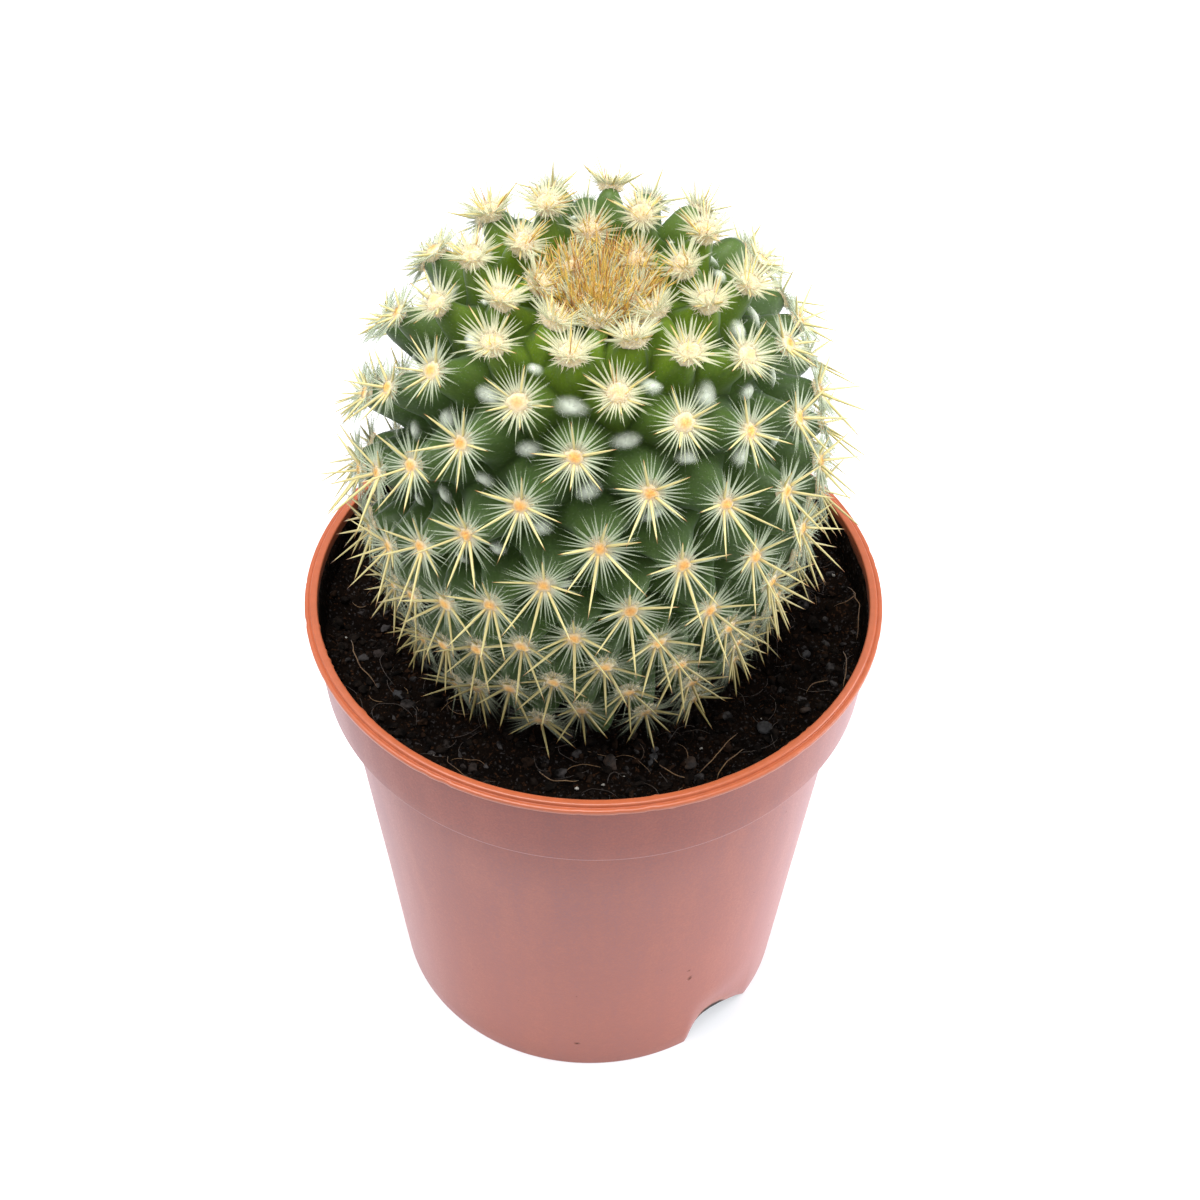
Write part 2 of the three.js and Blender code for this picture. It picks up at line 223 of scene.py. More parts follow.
on_flange = pot_radius > COLLAR_TOP_RADIUS + 0.3
under_flange = on_flange & (pot_z < lip_foot + 0.12)
on_inner_edge = (np.abs(pot_radius - lip_inside) < 0.06) & (pot_z > POT_HEIGHT - 0.3)
pot_radius = pot_radius - np.where(on_flange, NICK_DEPTH * flaws(0.9, 3, 0.45, 7.0, 0.35), 0)
pot_radius = pot_radius - np.where(on_inner_edge, BURR_REACH * flaws(0.4, 8, 0.2, 9.0, -0.1), 0)
pot_z = np.where(in_foot, foot_rise + pot_z * (reach - foot_rise) / reach, pot_z)
pot_z = pot_z - np.where(under_flange, FLASH_DEPTH * flaws(0.6, 5, 0.3, 5.0, 0.1), 0)
wave_in = WAVINESS * (cloud(rim, 13.0, 7) - 1) * np.clip((pot_z - floor_top) / 10, 0, 1)
pot_radius = pot_radius + np.where(pot_radius > FOOT_RADIUS, wave_in, 0)
pot_shell = make_piece(
    "pot_shell", around(pot_radius, pot_turn, pot_z), ring_faces(len(pot_rows), POT_SEGMENTS))
weld(pot_shell)

drains = bmesh.new()
for i in range(4):
    azimuth = math.radians(45 + 90 * i)
    place = Vector((math.sin(azimuth) * DRAIN_CIRCLE, -math.cos(azimuth) * DRAIN_CIRCLE, FLOOR_Z)) * MM
    bmesh.ops.create_cone(
        drains, cap_ends=True, segments=48, radius1=DRAIN_RADIUS * MM, radius2=DRAIN_RADIUS * MM,
        depth=4 * MM, matrix=Matrix.Translation(place))
drain_mesh = bpy.data.meshes.new("drains")
drains.to_mesh(drain_mesh)
drains.free()
drain_cutter = bpy.data.objects.new("drains", drain_mesh)
bpy.context.scene.collection.objects.link(drain_cutter)
drain_cut = pot_shell.modifiers.new("drains", "BOOLEAN")
drain_cut.operation = "DIFFERENCE"
drain_cut.solver = "EXACT"
drain_cut.object = drain_cutter
drained = pot_shell.evaluated_get(bpy.context.evaluated_depsgraph_get())
pot_shell.data = bpy.data.meshes.new_from_object(drained)
pot_shell.modifiers.clear()
bpy.data.objects.remove(drain_cutter)


class Coat:
    """The nodes of a material, a node group or the world, with a short way to add each usual kind."""

    def __init__(self, tree):
        self.tree = tree

    def fill(self, node, sockets):
        """Sets the inputs of a node, or joins them to the outputs of others. Every colour is opaque."""
        for name, value in sockets.items():
            socket = node.inputs[name]
            if isinstance(value, bpy.types.NodeSocket):
                self.tree.links.new(value, socket)
            else:
                socket.default_value = (*value, 1) if socket.type == "RGBA" else value

    def feed(self, **sockets):
        """Sets or joins inputs of the material's shader."""
        shader = self.tree.nodes["Principled BSDF"]
        self.fill(shader, {name.replace("_", " "): value for name, value in sockets.items()})

    def add(self, kind, sockets, **settings):
        """The outputs of a new node."""
        made = self.tree.nodes.new("ShaderNode" + kind)
        for name, value in settings.items():
            setattr(made, name, value)
        self.fill(made, sockets)
        return made.outputs

    def read(self, name):
        """A number that the mesh carries for each point."""
        return self.add("Attribute", {}, attribute_name=name)["Fac"]

    def where(self):
        """The place on the object, in metres."""
        return self.add("TexCoord", {})["Object"]

    def along(self, axis):
        """The place along one of the object's axes."""
        return self.add("SeparateXYZ", {"Vector": self.where()})[axis]

    def edge_on(self):
        """1 where the surface is seen edge on."""
        return self.add("LayerWeight", {"Blend": 0.5})["Facing"]

    def noise(self, scale, detail, rough=0.5, where=None):
        """Even noise, with scale lumps a metre."""
        kind = {"Vector": where or self.where(), "Scale": scale, "Detail": detail, "Roughness": rough}
        return self.add("TexNoise", kind)["Fac"]

    def mix(self, share, first, second, way="MIX"):
        """Two colours mixed by a share that changes over the surface."""
        return self.add("Mix", {0: share, 6: first, 7: second}, data_type="RGBA", blend_type=way)[2]

    def fit(self, value, low, high, out_low=0.0, out_high=1.0, way="SMOOTHSTEP"):
        """A value spread from one range to another, and kept inside it."""
        ends = {"From Min": low, "From Max": high, "To Min": out_low, "To Max": out_high}
        return self.add("MapRange", {"Value": value, **ends}, interpolation_type=way)["Result"]

    def times(self, first, second):
        """The product of two values."""
        return self.add("Math", {0: first, 1: second}, operation="MULTIPLY")[0]

    def larger(self, first, second):
        """The larger of two values."""
        return self.add("Math", {0: first, 1: second}, operation="MAXIMUM")[0]

    def bump(self, height, distance, strength=1.0):
        """A surface normal from a height in which 1 stands for the distance in millimetres."""
        relief = {"Height": height, "Distance": distance * MM, "Strength": strength}
        return self.add("Bump", relief)["Normal"]


def new_group(name, inputs, outputs):
    """A shader node group with named sockets, as a coat, and its two ends."""
    group = bpy.data.node_groups.new(name, "ShaderNodeTree")
    for socket, value in inputs.items():
        kind = "NodeSocketColor" if isinstance(value, tuple) else "NodeSocketFloat"
        made = group.interface.new_socket(socket, in_out="INPUT", socket_type=kind)
        made.default_value = (*value, 1) if isinstance(value, tuple) else value
    for socket, kind in outputs.items():
        group.interface.new_socket(socket, in_out="OUTPUT", socket_type=kind)
    return Coat(group), group.nodes.new("NodeGroupInput").outputs, group.nodes.new("NodeGroupOutput")


def new_material(piece, name, **values):
    """The coat of a piece's material, whose even values stand on its shader's own sockets."""
    material = bpy.data.materials.new(name)
    material.use_nodes = True
    piece.data.materials.append(material)
    coat = Coat(material.node_tree)
    coat.feed(**values)
    return coat


# Mottling: patches of a second colour and fine grain over the first, as on any moulded or grown surface
mottling, given, result = new_group("mottling", {
    "Color": (0.5, 0.5, 0.5), "Patch Color": (0.4, 0.4, 0.4), "Patches Per Metre": 200.0,
    "Amount": 0.5, "Grain": 0.1}, {"Color": "NodeSocketColor", "Patch": "NodeSocketFloat"})
patch = mottling.fit(mottling.noise(given["Patches Per Metre"], 6, 0.6), 0.38, 0.66)
grain = mottling.noise(mottling.times(given["Patches Per Metre"], 14.0), 3)
patched = mottling.mix(mottling.times(patch, given["Amount"]), given["Color"], given["Patch Color"])
grained = mottling.mix(1.0, patched, mottling.fit(grain, 0.3, 0.7, 0.5, 1.5, "LINEAR"), "MULTIPLY")
mottling.fill(result, {"Color": mottling.mix(given["Grain"], patched, grained), "Patch": patch})


def mottled(coat, colour, patch_colour, per_metre, amount, grain):
    """The mottling placed in a material with its own values."""
    return coat.add("Group", {
        "Color": colour, "Patch Color": patch_colour, "Patches Per Metre": per_metre, "Amount": amount,
        "Grain": grain}, node_tree=mottling.tree)


coat = new_material(pot_shell, "terracotta_plastic", IOR=1.49, Sheen_Weight=0.03, Sheen_Roughness=0.5)
plastic = mottled(coat, TERRACOTTA, TERRACOTTA_DEEP, 90, 0.22, 0.12)["Color"]
height = coat.along("Z")
outside = coat.fit(coat.read("outside"), 0.2, 0.8)
under_lip = coat.fit(height, (lip_foot - 0.2) * MM, (lip_foot - 0.6) * MM)
# The outer wall below the lip carries a pinkish-lilac film: partly dust, partly a painted sheen of the white
# room.
outer_wall = coat.times(under_lip, outside)
drawn_out = coat.add("Mapping", {"Vector": coat.where(), "Scale": (1, 1, 0.12)})["Vector"]
film = coat.times(outer_wall, coat.fit(coat.noise(420, 4, where=drawn_out), 0.25, 0.75, 0.50, 0.68))
film = coat.times(film, coat.fit(coat.noise(5200, 3), 0.30, 0.70, 0.72, 1.18))
# The film is painted darker high on the wall and lighter towards the foot: painted shade under the collar and
# painted light from the floor.
dust_and_sheen = coat.mix(coat.fit(height, SHOULDER_Z * MM, 0.0), LILAC_DUST_SHEEN_SHADED, PALE_DUST_SHEEN_LIT)
filmed = coat.mix(film, plastic, dust_and_sheen)
# Painted shade: the collar and the top of the wall are darkened, most on the left and middle and less to the
# right.
on_collar = coat.times(coat.fit(height, (SHOULDER_Z - 10) * MM, (SHOULDER_Z + 6) * MM), under_lip)
shaded_collar_side = coat.times(on_collar, coat.fit(coat.along("X"), 6 * MM, 22 * MM, 1.0, 0.25))
filmed = coat.mix(shaded_collar_side, filmed, coat.mix(1.0, filmed, COLLAR_SHADE_TINT, "MULTIPLY"))
filmed = coat.mix(coat.times(coat.fit(coat.edge_on(), 0.6, 1.0, 0.0, 0.32), outer_wall), filmed, EDGE_SHEEN)
# The inside of the collar under the bead is darkened almost to black in patches: partly soil stain, partly
# painted shade.
below_edge = coat.fit(height, (POT_HEIGHT - 0.5) * MM, (POT_HEIGHT - 2.2) * MM)
stain_and_shade = coat.times(coat.fit(outside, 0.5, 0.1), below_edge)
stain_and_shade = coat.times(stain_and_shade, coat.fit(coat.noise(300, 6, 0.7), 0.25, 0.55, 0.72, 1.0))
coat.feed(
    Base_Color=coat.mix(stain_and_shade, filmed, SOIL_STAIN_AND_SHADE),
    Roughness=coat.larger(coat.fit(film, 0.0, 0.7, 0.28, 0.55), stain_and_shade),
    Normal=coat.bump(coat.noise(2600, 2), 0.012))
corners = np.array([vertex.co for vertex in pot_shell.data.vertices]) / MM
wall_middle = np.where(
    corners[:, 2] > SHOULDER_Z,
    np.interp(corners[:, 2], [SHOULDER_Z, lip_foot], [COLLAR_FOOT_RADIUS, COLLAR_TOP_RADIUS]),
    wall_radius(corners[:, 2])) - POT_WALL / 2
outside_share = np.clip((np.hypot(corners[:, 0], corners[:, 1]) - wall_middle) * 3 + 0.2, 0, 1)
outside_mark = pot_shell.data.attributes.new("outside", "FLOAT", "POINT")
outside_mark.data.foreach_set("value", outside_share.astype(np.float32))
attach(pot_shell, "root")
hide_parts("pot")


# Soil bed: dark peat potting mix that fills the pot to a few millimetres under the rim and holds the stem.
# Its top is loose and lumpy, and it lies against the collar all round.
SOIL_LEVEL = 46.2
SOIL_GAP = 0.3
SOIL_SEGMENTS = 430
STEM_RADIUS = 10.8
STEM_FOOT_Z = 38.3
STEM_X = -1.24
STEM_Y = 1.67
SOIL_BANK = 1.1
PEAT = (0.0030, 0.0019, 0.0014)
PEAT_GREY_AND_HIGHLIGHT = (0.036, 0.030, 0.027)
PEAT_BROWN = (0.008, 0.0046, 0.0030)
PALE_FLECK_AND_GLINT = (0.040, 0.036, 0.036)
BARK_FLECK = (0.036, 0.017, 0.009)


def soil_height(x, y):
    """Height of the soil's loose top, which is banked up a little against the collar."""
    place = np.stack([x, y, np.zeros_like(x)], axis=-1).reshape(-1, 3)
    lumps = 0.42 * cloud(place, 5.5, 11) + 0.46 * cloud(place, 2.1, 12) + 0.34 * np.abs(cloud(place, 1.1, 13))
    bank = np.clip((np.hypot(place[:, 0], place[:, 1]) - 22.0) / 3.5, 0, 1) ** 2
    lumps += 0.14 * cloud(place, 0.5, 14) + bank * SOIL_BANK * (0.75 + 0.5 * cloud(place, 3.0, 15))
    return SOIL_LEVEL - 0.05 + lumps.reshape(np.shape(x))


soil_turn = turns(SOIL_SEGMENTS)
soil_step = SHOULDER_Z + SOIL_GAP
soil_edge = collar_inside(SOIL_LEVEL) - 0.03
soil_clear = POT_WALL + SOIL_GAP
soil_side = [
    (0.0, floor_top + SOIL_GAP), (wall_radius(floor_top) - soil_clear, floor_top + SOIL_GAP),
    (wall_radius(soil_step) - soil_clear, soil_step), (wall_radius(soil_step) - soil_clear, soil_step + 1),
    (collar_inside(soil_step + 1) - SOIL_GAP, soil_step + 1)]
soil_top = [(radius, SOIL_LEVEL) for radius in np.linspace(soil_edge, STEM_RADIUS - 1.0, 46)]
soil_rows = np.array(soil_side + soil_top)
soil_points = around(soil_rows[:, :1], soil_turn, soil_rows[:, 1:])
loose_top = soil_points[len(soil_side):]
loose_top[..., 2] = soil_height(loose_top[..., 0], loose_top[..., 1])
hole_foot = STEM_FOOT_Z - SOIL_GAP
stem_hole = [around(radius, soil_turn, z) + (STEM_X, STEM_Y, 0) for radius, z in (
    (STEM_RADIUS - 1.5, SOIL_LEVEL - 1.2), (STEM_RADIUS - 1.5, hole_foot), (0.0, hole_foot))]
soil_points = np.concatenate([soil_points, stem_hole])
soil_bed = make_piece("soil_bed", soil_points, ring_faces(len(soil_points), SOIL_SEGMENTS))
weld(soil_bed)

coat = new_material(soil_bed, "peat_soil", Roughness=1.0, Specular_IOR_Level=0.03)
colour = mottled(coat, PEAT, PEAT_BROWN, 420, 0.7, 0.6)["Color"]
# Grey patches and pale specks on the peat: partly dry dust and grit, partly painted highlights on the lumps.
grey_dust_and_highlight = coat.noise(700, 7, 0.7)
flecks = coat.noise(2500, 3, 0.6)
colour = coat.mix(coat.fit(grey_dust_and_highlight, 0.60, 0.70, 0, 0.7), colour, PEAT_GREY_AND_HIGHLIGHT)
colour = coat.mix(coat.fit(flecks, 0.60, 0.67, 0, 0.8), colour, PALE_FLECK_AND_GLINT)
colour = coat.mix(coat.fit(flecks, 0.40, 0.35, 0, 0.9), colour, BARK_FLECK)
clods = coat.add("TexVoronoi", {"Vector": coat.where(), "Scale": 900.0})["Distance"]
clods = coat.add("Math", {0: clods, 1: grey_dust_and_highlight}, operation="ADD")[0]
coat.feed(Base_Color=colour, Normal=coat.bump(clods, 0.35))
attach(soil_bed, "root")
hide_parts("soil")


# Clinging soil: watering leaves a thin skin of fine peat on the inside of the collar, up to its inner bead.
# Each layer of the skin is a share of the way up and a thickness.
SKIN_SEGMENTS = 400
SKIN_FOOT_Z = SOIL_LEVEL - 1.0
SKIN_TOP_Z = POT_HEIGHT - 1.0
SKIN_LAYERS = (
    (0, 0.02), (1, 0.02), (1, 0.05), (0.8, 0.09), (0.6, 0.10), (0.4, 0.12), (0.2, 0.14), (0, 0.16), (0, 0.02))
skin_turn = turns(SKIN_SEGMENTS)
skin_around = around(NECK_RADIUS, skin_turn, 0.0)
skin_top = SKIN_TOP_Z + 0.22 * cloud(skin_around, 1.6, 17) + 0.12 * cloud(skin_around, 0.5, 18)
skin_rows = []
for share, thickness in SKIN_LAYERS:
    skin_z = SKIN_FOOT_Z + (skin_top - SKIN_FOOT_Z) * share
    uneven = 0.35 * cloud(skin_around + share * 9.0, 0.6, 19) if thickness > 0.02 else 0
    skin_rows.append(around(collar_inside(skin_z) - thickness * (1 + uneven), skin_turn, skin_z))
clinging_soil = make_piece("clinging_soil", skin_rows, ring_faces(len(skin_rows), SKIN_SEGMENTS))
weld(clinging_soil)
clinging_soil.data.materials.append(soil_bed.data.materials[0])
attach(clinging_soil, "root")


# Dried splashes: thin specks of peat that watering and handling have left on the outside of the pot.
# The first three are where the photograph shows them: azimuth, height, half width and half height.
SEEN_SPLASHES = [
    (math.radians(-2.6), 4.6, 0.55, 0.34), (math.radians(28.4), 14.5, 0.36, 0.60),
    (math.radians(27.6), 16.2, 0.26, 0.24)]
SPLASH_COUNT = 26
MOUND_RINGS = 6
MOUND_AROUND = 18
mound_faces = [[0, i + 1, (i + 1) % MOUND_AROUND + 1] for i in range(MOUND_AROUND)]
mound_faces += (ring_faces(MOUND_RINGS, MOUND_AROUND) + 1)[:, ::-1].tolist()
mound_edge = np.concatenate([[0], np.repeat(np.linspace(0, 1, MOUND_RINGS + 1)[1:], MOUND_AROUND)])


def low_mound(middle, out, first_way, second_way, rise, seed):
    """Points of a low uneven mound over a spot; the two ways are its half widths as vectors."""
    share = np.linspace(0, 1, MOUND_RINGS + 1)[1:, None, None]
    turn = turns(MOUND_AROUND)[:, None]
    radial = first_way * np.cos(turn) + second_way * np.sin(turn)
    radial = radial * (1 + 0.25 * cloud(middle + radial, np.linalg.norm(first_way), seed))[:, None]
    mound = middle + radial * share + out * rise * (1 - share ** 2)
    return np.concatenate([(middle + out * rise)[None], mound.reshape(-1, 3)])


def repeated(shapes, faces):
    """Points and faces of shapes that all have the same faces."""
    firsts = np.arange(len(shapes)) * len(shapes[0])
    copies = [[corner + first for corner in face] for first in firsts.tolist() for face in faces]
    return np.concatenate(shapes), copies


def outward_at(azimuth):
    """Level direction away from the axis, where 0 is the front."""
    return np.stack([np.sin(azimuth), -np.cos(azimuth), np.zeros_like(azimuth)], axis=-1)


dice = np.random.default_rng(25)
splashes = list(SEEN_SPLASHES)
for _ in range(SPLASH_COUNT):
    size = dice.uniform(0.05, 0.13)
    azimuth, z = dice.uniform(-math.pi, math.pi), dice.uniform(1.5, 40.0)
    splashes.append((azimuth, z, size, size * dice.uniform(0.6, 1.6)))
splash_shapes = []
for azimuth, z, wide, high in splashes:
    out = outward_at(azimuth)
    level = outward_at(azimuth + math.pi / 2)
    slope = np.array([0, 0, 1.0]) + out * (NECK_RADIUS - FOOT_RADIUS) / SHOULDER_Z
    spot = out * (wall_radius(z) - 0.01) + np.array([0, 0, z])
    splash_shapes.append(low_mound(spot, out, level * wide, slope * high, 0.04, 26))
dried_splashes = make_piece(
    "dried_splashes", *repeated(splash_shapes, mound_faces), edge=np.tile(mound_edge, len(splashes)))
coat = new_material(dried_splashes, "dried_peat", Roughness=0.8, Specular_IOR_Level=0.2)
colour = mottled(coat, (0.105, 0.034, 0.018), (0.070, 0.026, 0.015), 2500, 0.8, 0.4)["Color"]
coat.feed(Base_Color=colour, Alpha=coat.fit(coat.read("edge"), 0.1, 1.0, 0.48, 0.0))
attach(dried_splashes, "root")


# Soil crumbs: loose bits of peat and bark that lie on the bed, sit half sunk, and gather along the collar.
# They are as irregular as broken peat is, and the larger ones have more facets.
CRUMB_COUNT = 3300
FINE_CRUMBS = 2400
CRUMB_SIZES = (0.10, 0.75)
CRUMB_RING = (13.5, 25.4)


def scattered(dice, ring, count):
    """Radii and turns of places spread evenly over a ring."""
    return np.sqrt(dice.uniform(ring[0] ** 2, ring[1] ** 2, count)), dice.uniform(0, FULL_TURN, count)


def broken_bits(places, sizes, flatness, seed, detail=2, jagged=1.0):
    """Irregular lumps at places, each turned its own way; returns points, faces and each point's own tone."""
    ball = bmesh.new()
    bmesh.ops.create_icosphere(ball, subdivisions=detail, radius=1)
    ball.verts.ensure_lookup_table()
    sphere = np.array([vertex.co[:] for vertex in ball.verts])
    faces = [[vertex.index for vertex in face.verts] for face in ball.faces]
    ball.free()
    dice = np.random.default_rng(seed)
    shapes, tones = [], []
    for i, (spot, size, flat) in enumerate(zip(places, sizes, flatness)):
        stretch = np.array([1.0, dice.uniform(0.45, 0.95), flat])
        uneven = 0.30 * cloud(sphere * 0.9 + i * 3.1, 0.9, seed)
        uneven += 0.16 * cloud(sphere + i * 1.7, 0.4, seed + 1)
        shape = sphere * (1 + jagged * uneven)[:, None] * stretch * size
        turn, lean = dice.uniform(0, FULL_TURN), dice.uniform(-0.5, 0.5)
        spin = np.array(Matrix.Rotation(turn, 3, "Z") @ Matrix.Rotation(lean, 3, "X"))
        shapes.append(shape @ spin.T + spot)
        tones.append(np.full(len(sphere), dice.uniform()))
    return *repeated(shapes, faces), np.concatenate(tones)


dice = np.random.default_rng(21)
crumb_radius, crumb_turn = scattered(dice, CRUMB_RING, CRUMB_COUNT)
crumb_share = dice.power(0.45, CRUMB_COUNT) * dice.uniform(0, 1, CRUMB_COUNT)
crumb_size = np.sort(CRUMB_SIZES[0] + (CRUMB_SIZES[1] - CRUMB_SIZES[0]) * crumb_share)
crumb_places = around(np.minimum(crumb_radius, soil_edge - crumb_size * 1.2), crumb_turn, 0.0)
crumb_places[:, 2] = soil_height(crumb_places[:, 0], crumb_places[:, 1]) + crumb_size * 0.28
crumb_flat = dice.uniform(0.4, 0.9, CRUMB_COUNT)
fine, coarse = slice(None, FINE_CRUMBS), slice(FINE_CRUMBS, None)
fine_points, fine_faces, fine_tones = broken_bits(
    crumb_places[fine], crumb_size[fine], crumb_flat[fine], 22, detail=1, jagged=2.0)
coarse_points, coarse_faces, coarse_tones = broken_bits(
    crumb_places[coarse], crumb_size[coarse], crumb_flat[coarse], 24, jagged=2.2)
soil_crumbs = make_piece(
    "soil_crumbs", np.concatenate([fine_points, coarse_points]),
    fine_faces + (np.array(coarse_faces) + len(fine_points)).tolist(), smooth=False,
    tone=np.concatenate([fine_tones, coarse_tones]))

coat = new_material(soil_crumbs, "peat_crumbs", Roughness=0.85, Specular_IOR_Level=0.06)
tone = coat.read("tone")
peat_colour = mottled(coat, (0.0105, 0.0072, 0.0055), (0.0016, 0.0011, 0.0009), 1100, 0.8, 0.6)
colour = coat.mix(coat.fit(tone, 0.55, 0.75), peat_colour["Color"], (0.022, 0.011, 0.006))
colour = coat.mix(coat.fit(tone, 0.82, 0.92), colour, (0.052, 0.047, 0.046))
colour = coat.mix(peat_colour["Patch"], colour, (0.0022, 0.0016, 0.0013))
coat.feed(Base_Color=colour, Normal=coat.bump(coat.noise(2400, 5), 0.12))
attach(soil_crumbs, "root")


# Soil chips: a few grey stone chips and bits of bark, and pale grit, which lie among the crumbs.
# The larger ones are where the photograph shows them: pixel x, pixel y, size, flatness and tone.
GREY, BROWN, WHITE = 0.5, 0.1, 0.95
SEEN_CHIPS = [
    (765, 729, 0.66, 0.60, GREY), (655, 749, 0.34, 0.70, GREY), (653, 756, 0.40, 0.70, GREY),
    (650, 764, 0.32, 0.70, GREY), (610, 766, 0.95, 0.55, BROWN), (577, 792, 0.19, 0.80, WHITE),
    (603, 789, 0.16, 0.80, WHITE), (805, 656, 0.55, 0.70, GREY), (805, 715, 0.45, 0.60, BROWN),
    (690, 765, 0.70, 0.50, BROWN), (400, 700, 0.75, 0.50, GREY)]
GRIT_COUNT = 34
GRIT_RING = (16.0, 25.0)
CAMERA_PLACE = np.array([0.63, -134.53, 185.83])
CAMERA_TILT = math.radians(45.4)
CAMERA_ROLL = math.radians(1.01)
PHOTO_SIDE = 1200
PHOTO_FOCAL = 1994.0
camera_ahead = np.array([0, math.cos(CAMERA_TILT), -math.sin(CAMERA_TILT)])
level_right = np.array([1.0, 0, 0])
steep_up = np.array([0, math.sin(CAMERA_TILT), math.cos(CAMERA_TILT)])
camera_right = math.cos(CAMERA_ROLL) * level_right + math.sin(CAMERA_ROLL) * steep_up
camera_up = -math.sin(CAMERA_ROLL) * level_right + math.cos(CAMERA_ROLL) * steep_up


def under_pixel(x, y, z):
    """The point at height z that the photograph shows at pixel x, y."""
    ray = camera_ahead + camera_right * (x - PHOTO_SIDE / 2) / PHOTO_FOCAL
    ray = ray - camera_up * (y - PHOTO_SIDE / 2) / PHOTO_FOCAL
    return CAMERA_PLACE + ray * (z - CAMERA_PLACE[2]) / ray[2]


chip_x, chip_y, chip_size, chip_flat, chip_tone = np.array(SEEN_CHIPS).T
chip_places = [under_pixel(x, y, SOIL_LEVEL) for x, y in zip(chip_x, chip_y)]
chip_places = np.concatenate([chip_places, around(*scattered(dice, GRIT_RING, GRIT_COUNT), SOIL_LEVEL)])
chip_size = np.concatenate([chip_size, dice.uniform(0.07, 0.17, GRIT_COUNT)])
chip_flat = np.concatenate([chip_flat, np.full(GRIT_COUNT, 0.7)])
chip_tone = np.concatenate([chip_tone, dice.choice([GREY, WHITE, BROWN], GRIT_COUNT, p=[0.45, 0.3, 0.25])])
chip_reach = np.hypot(chip_places[:, 0], chip_places[:, 1])
chip_places[:, :2] *= np.minimum(1, (soil_edge - chip_size * 1.3) / chip_reach)[:, None]
chip_places[:, 2] = soil_height(chip_places[:, 0], chip_places[:, 1]) + chip_size * chip_flat * 0.75
chip_points, chip_faces, own_tone = broken_bits(chip_places, chip_size, chip_flat, 31, detail=3, jagged=1.5)
soil_chips = make_piece(
    "soil_chips", chip_points, chip_faces, tone=np.repeat(chip_tone, len(own_tone) // len(chip_tone)))

coat = new_material(soil_chips, "stone_and_grit", Roughness=0.75, Specular_IOR_Level=0.4)
tone = coat.read("tone")
stone = mottled(coat, (0.031, 0.030, 0.032), (0.010, 0.009, 0.009), 1300, 0.85, 0.6)
bark = coat.mix(stone["Patch"], (0.026, 0.013, 0.007), (0.007, 0.004, 0.003))
grit = coat.mix(stone["Patch"], (0.42, 0.40, 0.36), (0.18, 0.17, 0.15))
colour = coat.mix(coat.fit(tone, 0.7, 0.8), coat.mix(coat.fit(tone, 0.2, 0.3), bark, stone["Color"]), grit)
coat.feed(Base_Color=colour, Normal=coat.bump(coat.noise(1800, 6), 0.22))
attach(soil_chips, "root")


# Soil fibres: straw-coloured and brown root threads and coir hairs that lie over the bed, some arched.
# The bright ones are where the photograph shows them, each as three pixels with a lift over the soil.
FIBRE_STEPS = 14
FIBRE_COUNT = 130
FIBRE_RING = (15.0, 24.6)
FIBRE_THICKNESS = 0.028
SEEN_FIBRE_THICKNESS = 0.048
SEEN_FIBRES = [
    [(700, 772, 0.3), (716, 752, 1.2), (738, 733, 0.3)], [(716, 778, 0.2), (728, 760, 0.9), (745, 748, 0.2)],
    [(846, 592, 0.4), (862, 612, 1.9), (858, 650, 0.3)], [(834, 612, 0.3), (852, 604, 1.5), (872, 600, 0.4)],
    [(842, 652, 0.2), (846, 672, 1.0), (842, 698, 0.2)], [(806, 696, 0.2), (815, 688, 0.8), (829, 684, 0.3)],
    [(655, 757, 0.3), (668, 770, 0.7), (690, 778, 0.2)], [(540, 770, 0.2), (556, 781, 0.7), (580, 783, 0.2)],
    [(352, 640, 0.3), (360, 668, 1.0), (380, 690, 0.2)]]


def unit(vectors):
    """The same directions with length 1."""
    return vectors / np.linalg.norm(vectors, axis=-1, keepdims=True)


def strand_piece(name, paths, radii, sides, **shades):
    """A piece of thin strands along paths, each with its own lot, its shades and the share of its way."""
    paths = np.asarray(paths, float)
    count, steps = paths.shape[:2]
    ahead = unit(np.gradient(paths, axis=1))
    least = np.eye(3)[np.argmin(np.abs(paths[:, -1] - paths[:, 0]), axis=1)]
    across = unit(np.cross(ahead, least[:, None, :]))
    over = np.cross(ahead, across)
    turn = turns(sides)[:, None]
    ring = across[:, :, None] * np.cos(turn) + over[:, :, None] * np.sin(turn)
    reach = np.broadcast_to(radii, (count, steps))[:, :, None, None]
    rings = (paths[:, :, None] + ring * reach)[:, :-1].reshape(count, -1, 3)
    each = (steps - 1) * sides + 1
    last = (steps - 2) * sides
    faces = ring_faces(steps - 1, sides).tolist() + [list(range(sides))[::-1]]
    faces += [[last + i, last + (i + 1) % sides, each - 1] for i in range(sides)]
    along = np.append(np.repeat(np.linspace(0, 1, steps)[:-1], sides), 1.0)
    shades["lot"] = np.random.default_rng(count).uniform(size=count)
    shades = {shade: np.repeat(values, each) for shade, values in shades.items()}
    points, faces = repeated(np.concatenate([rings, paths[:, -1:]], axis=1), faces)
    return make_piece(name, points, faces, along=np.tile(along, count), **shades)


def laid(x, y, lift):
    """A point a little over the soil's top, kept clear of the collar."""
    inward = min(1, (soil_edge - 0.4) / math.hypot(x, y))
    return np.array([x * inward, y * inward, soil_height(x * inward, y * inward) + lift])


def fibre_path(start, middle, end):
    """An arched path through three points."""
    return curve(start, 2 * middle - (start + end) / 2, end, np.linspace(0, 1, FIBRE_STEPS)[:, None])


